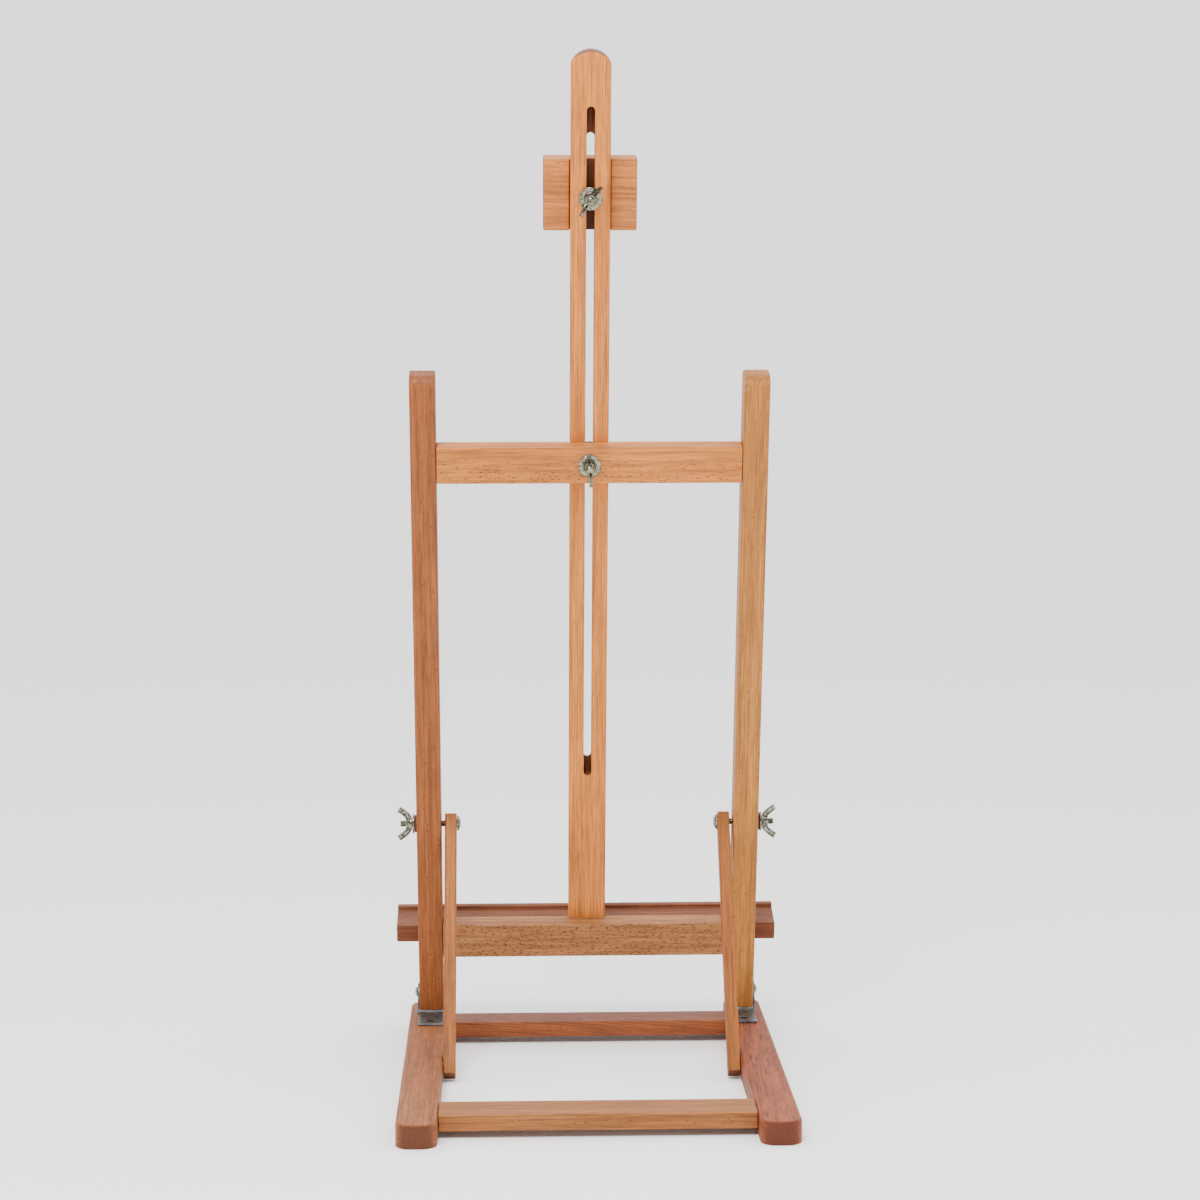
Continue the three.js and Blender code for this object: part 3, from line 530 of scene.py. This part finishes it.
def made(name, tree, body, nodes, axes, sizes):
    """Runs a tree on one point for each CAD solid, and rides the plain mesh in their place."""
    host = bpy.data.objects.new(name, bpy.data.meshes.new(name))
    host.data.from_pydata([cad_axis(node, axis)[0] for node, axis in zip(nodes, axes)], [], [])
    stored = host.data.attributes.new("axis", "FLOAT_VECTOR", "POINT")
    for entry, axis in zip(stored.data, axes):
        entry.vector = axis
    bpy.context.scene.collection.objects.link(host)
    modifier = host.modifiers.new("shape", "NODES")
    modifier.node_group = tree
    for item in tree.interface.items_tree:
        if item.in_out == "INPUT" and item.name in sizes:
            modifier[item.identifier] = sizes[item.name]
    finished(host, evaluated_mesh(host))
    host.data.polygons.foreach_set("use_smooth", [True] * len(host.data.polygons))
    host.data.set_sharp_from_angle(angle=TURNED_SHARP_BEND)
    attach(host, body)
    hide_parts(*nodes)


# A turned part with no thread, flutes or recess, and no twist.
PLAIN = {
    "Pitch": 1.0, "Thread Depth": 0.0, "Thread Start": 0.0, "Thread End": 1.0, "Flutes": 0.0,
    "Flute Depth": 0.0, "Recess Radius": 0.0, "Recess Depth": 1.0 * MM, "Twist": 0.0}


def wood_screw(name, body, nodes, axes, head, head_depth, shank, length):
    """Countersunk cross-head screws whose points face along the axes. Sizes in millimetres."""
    profile = drawn_line(name + " profile", [
        (0, 0), (shank * 0.7, shank), (shank, shank * 2), (shank, length - head_depth),
        (head - 0.15, length - 0.25), (head, length - 0.1), (head - 0.1, length), (0, length)])
    made(name, fastener, body, nodes, axes, {
        **PLAIN, "Profile": profile, "Rows": int(length * 5), "Around": 29, "Pitch": 1.8 * MM,
        "Thread Depth": 0.6 * MM, "Thread End": length * 0.62 * MM,
        "Recess Radius": head * 0.62 * MM, "Recess Depth": 1.7 * MM, "Twist": 0.6,
        "Material": dark_steel})


# The sheet has a dull blue-grey shine, the turned parts a brighter yellowish one, and the screws
# hardly shine at all under their matt black phosphate.
zinc_sheet = plated_steel("zinc-plated sheet steel", "#7c8385", "#4b5052", 0.36, 6 * MM)
zinc_turned = plated_steel("zinc-plated turned steel", "#8f8d7b", "#3d3c34", 0.16, 2.5 * MM)
dark_steel = plated_steel("black phosphated screw steel", "#1a1816", "#0c0b0a", 0.6, 2 * MM, 0.0)
dark_shader = dark_steel.node_tree.nodes["Principled BSDF"]
dark_shader.inputs["Specular IOR Level"].default_value = 0.12
for side in SIDES:
    fitted(eased(side + "_bracket", ZINC_EDGE, inner_share=0.5, segments=2), side + "_bracket",
           "base", zinc_sheet)
bracket_screws = [f"{side}_bracket_screw_{end}" for side in SIDES for end in ("front", "rear")]
wood_screw("bracket_screws", "base", bracket_screws, [UP] * 4,
           head=4.0, head_depth=2.0, shank=1.9, length=16)
rivet_length = cad_axis("right_pivot_rivet", ACROSS)[1] / MM
rivet_head = [(0, 0), (2.2, 0.25), (3.9, 1.1), (RIVET_HEAD, 2.2), (RIVET_HEAD, 2.4), (3, 2.4)]
rivet_profile = drawn_line("rivet profile", [
    *rivet_head, *((radius, rivet_length - height) for radius, height in reversed(rivet_head))])
made("pivot_rivets", fastener, "base", ["left_pivot_rivet", "right_pivot_rivet"],
     [ACROSS] * 2, {
         **PLAIN, "Profile": rivet_profile, "Rows": 160, "Around": 33, "Material": zinc_turned})

# ---- Dowels ----
# Fluted hardwood pegs, 8 by 28 mm, glued into blind holes where a rail meets a foot and where a
# crossbar meets a post. They are planed plain beech with no lacquer, and nothing of them shows.

DOWEL = 28
FLUTES = 18.0
dowel_wood = beech(
    "beech, bare dowel", "front_rail", ACROSS, (0, 12, 9), ("#dcbc94", "#c49f74", "#a97f55"),
    flecks=0.2)
dowel_profile = drawn_line("dowel profile", [
    (0, 0), (3, 0), (4, 1), (4, DOWEL - 1), (3, DOWEL), (0, DOWEL)])
for body, places in (("base", ("front_rail", "rear_rail")), ("frame", ("upper_bar", "lower_bar"))):
    pegs = [f"{side}_{place}_dowel_{number}"
            for side in SIDES for place in places for number in (1, 2)]
    made(body + "_dowels", fastener, body, pegs, [ACROSS] * len(pegs), {
        **PLAIN, "Profile": dowel_profile, "Rows": 36, "Around": 73, "Pitch": 1.0 * MM,
        "Thread Start": 0.5 * MM, "Thread End": (DOWEL - 0.5) * MM,
        "Flutes": FLUTES, "Flute Depth": 0.35 * MM,
        "Material": dowel_wood})

# ---- Posts ----
# Two uprights, 22 by 31 mm, that lean back 15.5 degrees. Their tops are rounded from front to back,
# and each has a slot for the side bolt. One is a redder board than the other.

joints = {joint["name"]: joint for joint in frame["joints"]}
FRAME_UP = Vector(joints["mast_height"]["axis"]).normalized()
FRAME_BACK = Vector((0, FRAME_UP.z, -FRAME_UP.y))
HINGE = Vector(joints["frame_tilt"]["pos_m"])
POST_EDGE = 1.3 * MM
# The right post is red-brown and the left one yellower. Their round tops hardly darken.
right_post_wood = beech(
    "beech, right post", "right_post", FRAME_UP, (60, 40, 0),
    ("#8f5124", "#763c17", "#5c2a0e"), flecks=0.3, shift=0.2, ends=0.2)
left_post_wood = beech(
    "beech, left post", "left_post", FRAME_UP, (-70, 30, 0),
    ("#ae7332", "#91571f", "#744013"), flecks=0.3, shift=0.5, ends=0.2)
fitted(eased("right_post", POST_EDGE), "right_post", "frame", right_post_wood)
fitted(eased("left_post", POST_EDGE), "left_post", "frame", left_post_wood)

# ---- Crossbars ----
# Two bars, 33 by 18 mm, dowelled between the posts with their backs flush. Each has a shallow
# groove in front for the mast. The upper one is pale and the lower one is thick with brown rays.

BAR_EDGE = 1.0 * MM
upper_bar_wood = beech(
    "beech, upper crossbar", "upper_crossbar", ACROSS, (0, -90, 10),
    ("#b7702f", "#a15a21", "#66300e"), flecks=0.45, shift=0.7, rings=0.3)
lower_bar_wood = beech(
    "beech, lower crossbar", "lower_crossbar", ACROSS, (0, -120, 30),
    ("#a16c3f", "#85532b", "#4c220b"), flecks=0.9, shift=0.1, rings=0.3)
fitted(eased("upper_crossbar", BAR_EDGE), "upper_crossbar", "frame", upper_bar_wood)
fitted(eased("lower_crossbar", BAR_EDGE), "lower_crossbar", "frame", lower_bar_wood)

# ---- Tray and its screws ----
# A shelf for the canvas and brushes, 355 mm wide, worked from one red-brown board with a low lip
# in front. A long dark screw at each end goes in through the lip and the shelf to the post behind.

TRAY_EDGE = 1.1 * MM
tray_wood = beech(
    "beech, tray", "tray", ACROSS, (0, 20, -80), ("#774322", "#613116", "#48200d"),
    flecks=0.4, shift=0.55)
fitted(eased("tray", TRAY_EDGE), "tray", "frame", tray_wood)
wood_screw("tray_screws", "frame", ["left_tray_screw", "right_tray_screw"], [-FRAME_BACK] * 2,
           head=4.4, head_depth=2.6, shank=2.2, length=56)

# ---- Mast ----
# The tall middle strip, 34 by 16 mm with a round top, that slides up in the crossbars' grooves. A
# slot 7 mm wide runs down it: deep from the back, and shorter where it comes through the front.

MAST_EDGE = 1.5 * MM
# Painted shade for the mast's slot and the clamp block's groove: the dark brown laid on, and how
# much of it.
SLOT_SHADE = "#451a0b"
SLOT_SHADE_SHARE = 0.8
# The palest board, with straight even lines. The inside of its slot is darkened to dark brown:
# painted shade, where little light gets in.
mast_wood = beech(
    "beech, mast", "mast", FRAME_UP, (110, 25, 0), ("#c57830", "#ad6020", "#8b4815"),
    flecks=0.25, shift=0.35, rings=0.7)


def painted_channel_shade(material, half_width, depth, half_depth):
    """Paints shade, a dark brown, on the sides and floor of a channel that runs along X = 0, inside
    a board.

    The eye gets a dark brown channel in a pale board, whose own ends stay clean: painted shade
    where little light reaches in. depth is how far the middle of the shaded part lies below the
    back of the mast. Sizes in millimetres.
    """
    tree = material.node_tree
    shader = tree.nodes["Principled BSDF"]
    place = add(tree, "ShaderNodeTexCoord")
    split = add(tree, "ShaderNodeSeparateXYZ", inputs={"Vector": place.outputs["Object"]})
    aside = add(tree, "ShaderNodeMath", {"operation": "ABSOLUTE"}, {0: split.outputs["X"]})
    inside = add(tree, "ShaderNodeMapRange", inputs={
        "Value": aside, "From Min": half_width * MM, "From Max": (half_width + 0.2) * MM,
        "To Min": 1.0, "To Max": 0.0})
    back = add(tree, "ShaderNodeVectorMath", {"operation": "DOT_PRODUCT"}, {
        0: place.outputs["Object"], 1: FRAME_BACK})
    from_middle = add(tree, "ShaderNodeMath", {"operation": "SUBTRACT"}, {
        0: back.outputs["Value"], 1: HINGE.dot(FRAME_BACK) - depth * MM})
    off_middle = add(tree, "ShaderNodeMath", {"operation": "ABSOLUTE"}, {0: from_middle})
    below = add(tree, "ShaderNodeMapRange", inputs={
        "Value": off_middle, "From Min": (half_depth - 1) * MM, "From Max": half_depth * MM,
        "To Min": SLOT_SHADE_SHARE, "To Max": 0.0})
    upward = add(tree, "ShaderNodeVectorMath", {"operation": "DOT_PRODUCT"}, {
        0: place.outputs["Normal"], 1: FRAME_UP})
    tilt = add(tree, "ShaderNodeMath", {"operation": "ABSOLUTE"}, {0: upward.outputs["Value"]})
    not_an_end = add(tree, "ShaderNodeMapRange", inputs={
        "Value": tilt, "From Min": 0.8, "From Max": 0.92, "To Min": 1.0, "To Max": 0.0})
    shaded_place = add(tree, "ShaderNodeMath", {"operation": "MULTIPLY"}, {0: inside, 1: below})
    share = add(tree, "ShaderNodeMath", {"operation": "MULTIPLY"}, {0: shaded_place, 1: not_an_end})
    bare = shader.inputs["Base Color"].links[0].from_socket
    shaded = add(tree, "ShaderNodeMix", {"data_type": "RGBA"}, {
        0: share, 6: bare, 7: linear(SLOT_SHADE)})
    tree.links.new(shaded.outputs[2], shader.inputs["Base Color"])


# Painted shade: the walls of the mast's slot are darkened to dark brown.
painted_channel_shade(mast_wood, half_width=3.6, depth=7.95, half_depth=7.2)
fitted(eased("mast", MAST_EDGE, inner_share=0.5), "mast", "mast", mast_wood)

# ---- Clamp block ----
# A beech block, 80 by 62 mm, that straddles the front of the mast in a groove and presses down on
# the canvas. Its grain runs from side to side.

CLAMP_EDGE = 1.2 * MM
clamp_wood = beech(
    "beech, clamp block", "clamp_block", Vector((1, 0, 0.03)), (0, 30, -100),
    ("#b87031", "#9f5b26", "#7e4116"), flecks=0.3, shift=0.25, rings=0.36)
# Painted shade: the floor and sides of the groove, seen through the mast's slot, are darkened to
# dark brown.
painted_channel_shade(clamp_wood, half_width=16.8, depth=15.2, half_depth=2.4)
fitted(eased("clamp_block", CLAMP_EDGE), "clamp_block", "clamp", clamp_wood)

# ---- Bolts, washers and fibre discs ----
# M6 carriage bolts with low domed heads, rolled threads at 1 mm and zinc plating. Flat washers lie
# under the nuts, a wide one in front of the mast, and a brown fibre disc rubs on each post.

BOLT_RADIUS = 3
BOLT_HEAD = 7.2
BOLT_HEAD_HEIGHT = 3.6
WASHER_HOLE = 3.3


def carriage_bolt(name, node, body, axis):
    """One bolt whose head is where its axis begins."""
    length = cad_axis(node, axis)[1] / MM
    dome = [(BOLT_HEAD * math.sin(step * math.pi / 16),
             BOLT_HEAD_HEIGHT - 3.5 * math.cos(step * math.pi / 16)) for step in range(9)]
    profile = drawn_line(name + " profile", [
        *dome, (7.15, 3.55), (BOLT_RADIUS, BOLT_HEAD_HEIGHT), (BOLT_RADIUS, length - 0.6),
        (2.4, length), (0, length)])
    made(name, fastener, body, [node], [axis], {
        **PLAIN, "Profile": profile, "Rows": int(length * 6), "Around": 33, "Pitch": 1.0 * MM,
        "Thread Depth": 0.55 * MM, "Thread Start": 8 * MM, "Thread End": (length + 0.5) * MM,
        "Material": zinc_turned})


def ring(name, node, axis, body, slot, outer, thickness, material):
    """A flat washer or disc, stamped with slightly rounded rims. Sizes in millimetres."""
    hole = WASHER_HOLE
    rim = min(0.3, thickness / 4)
    profile = drawn_line(name + " profile", [
        (hole, thickness / 2), (hole, rim), (hole + rim, 0), (outer - rim, 0), (outer, rim),
        (outer, thickness - rim), (outer - rim, thickness), (hole + rim, thickness),
        (hole, thickness - rim), (hole, thickness / 2)])
    made(name, fastener, body, [node], [axis], {
        **PLAIN, "Profile": profile, "Rows": 120, "Around": 65, "Material": material})


def brown_fibre():
    """Vulcanised fibre, pressed and stamped. The eye gets a dull red-brown with a fine mat in it.

    The mat is drawn 0.8 mm across, which the real one has much finer.
    """
    material, tree, shader = new_material("vulcanised fibre")
    place = add(tree, "ShaderNodeTexCoord")
    mat = add(tree, "ShaderNodeTexNoise", inputs={
        "Vector": place.outputs["Object"], "Scale": 1 / (0.8 * MM), "Detail": 4.0,
        "Roughness": 0.7})
    tone = add(tree, "ShaderNodeMix", {"data_type": "RGBA"}, {
        0: mat.outputs["Fac"], 6: linear("#6d3520"), 7: linear("#46200f")})
    bump = add(tree, "ShaderNodeBump", inputs={
        "Height": mat.outputs["Fac"], "Strength": 0.4, "Distance": 0.1 * MM})
    tree.links.new(tone.outputs[2], shader.inputs["Base Color"])
    tree.links.new(bump.outputs[0], shader.inputs["Normal"])
    shader.inputs["Roughness"].default_value = 0.78
    shader.inputs["IOR"].default_value = 1.5
    return material


fibre = brown_fibre()
OUTWARDS = {"left": -ACROSS, "right": ACROSS}
carriage_bolt("mast_bolt_shown", "mast_bolt", "frame", FRAME_BACK)
carriage_bolt("clamp_bolt_shown", "clamp_bolt", "clamp", FRAME_BACK)
ring("mast_front_washer_shown", "mast_front_washer", FRAME_BACK, "frame", "zinc_steel",
     outer=12, thickness=1.5, material=zinc_turned)
ring("mast_rear_washer_shown", "mast_rear_washer", FRAME_BACK, "frame", "zinc_steel",
     outer=10, thickness=1.4, material=zinc_turned)
ring("clamp_washer_shown", "clamp_washer", FRAME_BACK, "clamp", "zinc_steel",
     outer=10, thickness=1.4, material=zinc_turned)
for side, axis in OUTWARDS.items():
    carriage_bolt(side + "_side_bolt_shown", side + "_side_bolt", side + "_strut", axis)
    ring(side + "_fibre_disc_shown", side + "_fibre_disc", axis, side + "_strut", "fibre",
         outer=8, thickness=1.8, material=fibre)
    ring(side + "_side_washer_shown", side + "_side_washer", axis, side + "_strut", "zinc_steel",
         outer=9, thickness=1.4, material=zinc_turned)

# ---- Wing nuts ----
# Four M6 wing nuts, pressed from steel and zinc-plated: a short tapered hub, whose inner thread is
# left out, and two thin wings with a raised rim that sweep up and out to 30 mm across.

# Each nut's body, the way its bolt points, and how many degrees it is turned on its bolt.
WING_NUTS = {
    "mast_wing_nut": ("mast_nut", FRAME_BACK, 95),
    "clamp_wing_nut": ("clamp_nut", FRAME_BACK, 55),
    "left_side_wing_nut": ("left_side_nut", -ACROSS, 0),
    "right_side_wing_nut": ("right_side_nut", ACROSS, 0)}
BORE = 3.1
HUB_HEIGHT = 5.8
WING_REACH = 13.4 * MM
WING_RISE = 12.2 * MM
# Half of the section of a wing, as places across it and half of the thickness there.
WING_SECTION = [
    (-2.7, 0.7), (-2.4, 1.5), (-1.9, 1.7), (-1.4, 1.4), (-1.1, 0.8),
    (1.1, 0.8), (1.4, 1.4), (1.9, 1.7), (2.4, 1.5), (2.7, 0.7)]
hub_profile = drawn_line("hub profile", [
    (BORE, 2.8), (BORE, 0.4), (3.5, 0), (5.9, 0), (6.2, 0.4), (6.2, 1.1), (6.1, 1.5), (5.6, 1.9),
    (4.7, HUB_HEIGHT - 0.5), (4.3, HUB_HEIGHT), (3.5, HUB_HEIGHT), (BORE, HUB_HEIGHT - 0.4),
    (BORE, 2.8)])
wing_section_mesh = bpy.data.meshes.new("wing section")
section_points = [(-y, x) for x, y in WING_SECTION] + [(y, x) for x, y in reversed(WING_SECTION)]
wing_section_mesh.from_pydata(
    [(x * MM, y * MM, 0) for x, y in section_points],
    [(index, (index + 1) % len(section_points)) for index in range(len(section_points))], [])
wing_section = bpy.data.objects.new("wing section", wing_section_mesh)


def wing_nut_tree():
    """A turned hub and two wings, each a rimmed section swept along a curve to a round tip."""
    tree, sizes = new_tree("wing nut", {
        **TURNED_SIZES, "Section": "Object", "Reach": "Float", "Rise": "Float", "Twist": "Float",
        "Material": "Material"})
    hub = add(tree, "GeometryNodeGroup", {"node_tree": turned_part},
              {label: sizes[label] for label in TURNED_SIZES})
    tip = add(tree, "ShaderNodeCombineXYZ", inputs={"X": sizes["Reach"], "Z": sizes["Rise"]})
    path = add(tree, "GeometryNodeCurveQuadraticBezier", inputs={
        "Resolution": 60, "Start": (4.35 * MM, 0, 3.0 * MM),
        "Middle": (8.2 * MM, 0, 3.6 * MM), "End": tip})
    share = add(tree, "GeometryNodeSplineParameter")
    # The section widens from the hub outwards, and closes to a round tip along a quarter ellipse.
    near_tip = add(tree, "ShaderNodeMapRange", inputs={
        "Value": share.outputs["Factor"], "From Min": 0.82, "From Max": 1.0})
    drop = add(tree, "ShaderNodeMath", {"operation": "POWER"}, {0: near_tip, 1: 2.0})
    left_over = add(tree, "ShaderNodeMath", {"operation": "SUBTRACT"}, {0: 1.0, 1: drop})
    rounding = add(tree, "ShaderNodeMath", {"operation": "SQRT"}, {0: left_over})
    waist = add(tree, "ShaderNodeMapRange", {"interpolation_type": "SMOOTHSTEP"}, {
        "Value": share.outputs["Factor"], "From Min": 0.0, "From Max": 0.7,
        "To Min": 0.72, "To Max": 1.1})
    shaped = add(tree, "ShaderNodeMath", {"operation": "MULTIPLY"}, {0: rounding, 1: waist})
    width = add(tree, "ShaderNodeMath", {"operation": "MAXIMUM"}, {0: shaped, 1: 0.04})
    drawn = add(tree, "GeometryNodeObjectInfo", inputs={"Object": sizes["Section"]})
    outline = add(tree, "GeometryNodeMeshToCurve", inputs={"Mesh": drawn.outputs["Geometry"]})
    scaled = add(tree, "GeometryNodeSetCurveRadius", inputs={"Curve": path, "Radius": width})
    swept = add(tree, "GeometryNodeCurveToMesh", inputs={
        "Curve": scaled, "Profile Curve": outline, "Fill Caps": True})
    wing = add(tree, "GeometryNodeFlipFaces", inputs={"Mesh": swept})
    other = add(tree, "GeometryNodeTransform", inputs={
        "Geometry": wing, "Rotation": (0, 0, math.pi)})
    union = add(tree, "GeometryNodeMeshBoolean", {"operation": "UNION", "solver": "MANIFOLD"})
    for part in (other, wing, hub):
        tree.links.new(part.outputs[0], union.inputs["Mesh 2"])
    return set_out(tree, sizes, union)


wing_nut = wing_nut_tree()
for node, (body, axis, turned) in WING_NUTS.items():
    made(node + "_shown", wing_nut, body, [node], [axis], {
        **PLAIN, "Profile": hub_profile, "Rows": 120, "Around": 41, "Section": wing_section,
        "Reach": WING_REACH, "Rise": WING_RISE, "Twist": math.radians(turned),
        "Material": zinc_turned})

# ---- Struts and their pivot screws ----
# Two thin beech bars, 15 by 11 mm, that prop the posts from the feet. Each turns on a countersunk
# screw at its lower end and holds the side bolt at its upper end.

STRUT_EDGE = 0.9 * MM
for side, colours, heart, shift in (
        ("left", ("#945316", "#7a3f0c", "#622e08"), (25, 60, 0), 0.15),
        ("right", ("#96561b", "#7f420f", "#663008"), (-60, 45, 0), 0.65)):
    low, high = joints[side + "_strut_swing"], joints[side + "_side_nut_turn"]
    run = Vector(high["pos_m"]) - Vector(low["pos_m"])
    run.x = 0
    strut_wood = beech(
        f"beech, {side} strut", side + "_strut", run, heart, colours, flecks=0.4, shift=shift)
    fitted(eased(side + "_strut", STRUT_EDGE), side + "_strut", side + "_strut",
           strut_wood)
for side, axis in OUTWARDS.items():
    wood_screw(side + "_pivot_screw", "base", [side + "_strut_screw"], [-axis],
               head=4.4, head_depth=2.6, shank=2.3, length=27)

# ---- Studio ----
# A white paper floor in a white room. One large soft light hangs between the easel and the camera,
# and a weaker one stands at one side.

WALL_LIGHT = 1.9
CEILING_LIGHT = 3.0
SHADE_BEHIND_CAMERA = 0.9
CAMERA_PLACE = (0.07047, 2.49750, 0.65964)
CAMERA_YAW = 1.8028
CAMERA_PITCH = 5.4051
CAMERA_ROLL = -0.1165
CAMERA_LENS = 86.77
SENSOR_WIDTH = 36
FLOOR = 9

floor_mesh = bpy.data.meshes.new("floor")
floor_mesh.from_pydata(
    [(-FLOOR, -FLOOR, 0), (FLOOR, -FLOOR, 0), (FLOOR, FLOOR, 0), (-FLOOR, FLOOR, 0)],
    [], [(0, 1, 2, 3)])
floor = bpy.data.objects.new("floor", floor_mesh)
bpy.context.scene.collection.objects.link(floor)
# White paper: matt all over, so that the easel's shadow lies soft on it.
floor_material, _, floor_shader = new_material("matt white paper")
floor_shader.inputs["Base Color"].default_value = linear("#fafaf9")
floor_shader.inputs["Roughness"].default_value = 0.9
floor_mesh.materials.append(floor_material)

# The room is white, and dim high up behind the camera, so that metal has something dark to mirror.
world = bpy.data.worlds.new("studio")
bpy.context.scene.world = world
world.use_nodes = True
room = world.node_tree
room_place = add(room, "ShaderNodeTexCoord")
room_way = add(room, "ShaderNodeSeparateXYZ", inputs={"Vector": room_place.outputs["Generated"]})
room_height = add(room, "ShaderNodeMapRange", inputs={
    "Value": room_way.outputs["Z"], "From Min": 0.1, "From Max": 1.0,
    "To Min": WALL_LIGHT, "To Max": CEILING_LIGHT})
room_back = add(room, "ShaderNodeMapRange", {"interpolation_type": "SMOOTHSTEP"}, {
    "Value": room_way.outputs["Y"], "From Min": 0.0, "From Max": 0.6,
    "To Min": 0.0, "To Max": SHADE_BEHIND_CAMERA})
room_over = add(room, "ShaderNodeMapRange", {"interpolation_type": "SMOOTHSTEP"}, {
    "Value": room_way.outputs["Z"], "From Min": 0.22, "From Max": 0.4})
room_shade = add(room, "ShaderNodeMath", {"operation": "MULTIPLY"}, {0: room_back, 1: room_over})
room_share = add(room, "ShaderNodeMath", {"operation": "SUBTRACT"}, {0: 1.0, 1: room_shade})
room_light = add(room, "ShaderNodeMath", {"operation": "MULTIPLY"}, {0: room_height, 1: room_share})
room.links.new(room_light.outputs[0], room.nodes["Background"].inputs["Strength"])
room.nodes["Background"].inputs["Color"].default_value = linear("#ffffff")


def soft_light(name, place, target, size, power):
    """A square area light that faces a point."""
    lamp = bpy.data.lights.new(name, "AREA")
    lamp.shape = "SQUARE"
    lamp.size = size
    lamp.energy = power
    holder = bpy.data.objects.new(name, lamp)
    bpy.context.scene.collection.objects.link(holder)
    holder.location = place
    holder.rotation_euler = (Vector(target) - Vector(place)).to_track_quat("-Z", "Y").to_euler()


soft_light("key", (0.35, 1.2, 2.0), target=(0, 0.1, 0.6), size=0.9, power=55)
soft_light("side", (-2.2, 0.8, 1.2), target=(0, 0, 0.4), size=1.0, power=10)

camera_data = bpy.data.cameras.new("camera")
camera_data.lens = CAMERA_LENS
camera_data.sensor_width = SENSOR_WIDTH
camera = bpy.data.objects.new("camera", camera_data)
bpy.context.scene.collection.objects.link(camera)
facing_back = Matrix.Rotation(math.radians(180 - CAMERA_YAW), 4, "Z")
tipped_down = Matrix.Rotation(math.radians(90 - CAMERA_PITCH), 4, "X")
rolled = Matrix.Rotation(math.radians(CAMERA_ROLL), 4, "Z")
camera.matrix_world = Matrix.Translation(CAMERA_PLACE) @ facing_back @ tipped_down @ rolled
bpy.context.scene.camera = camera
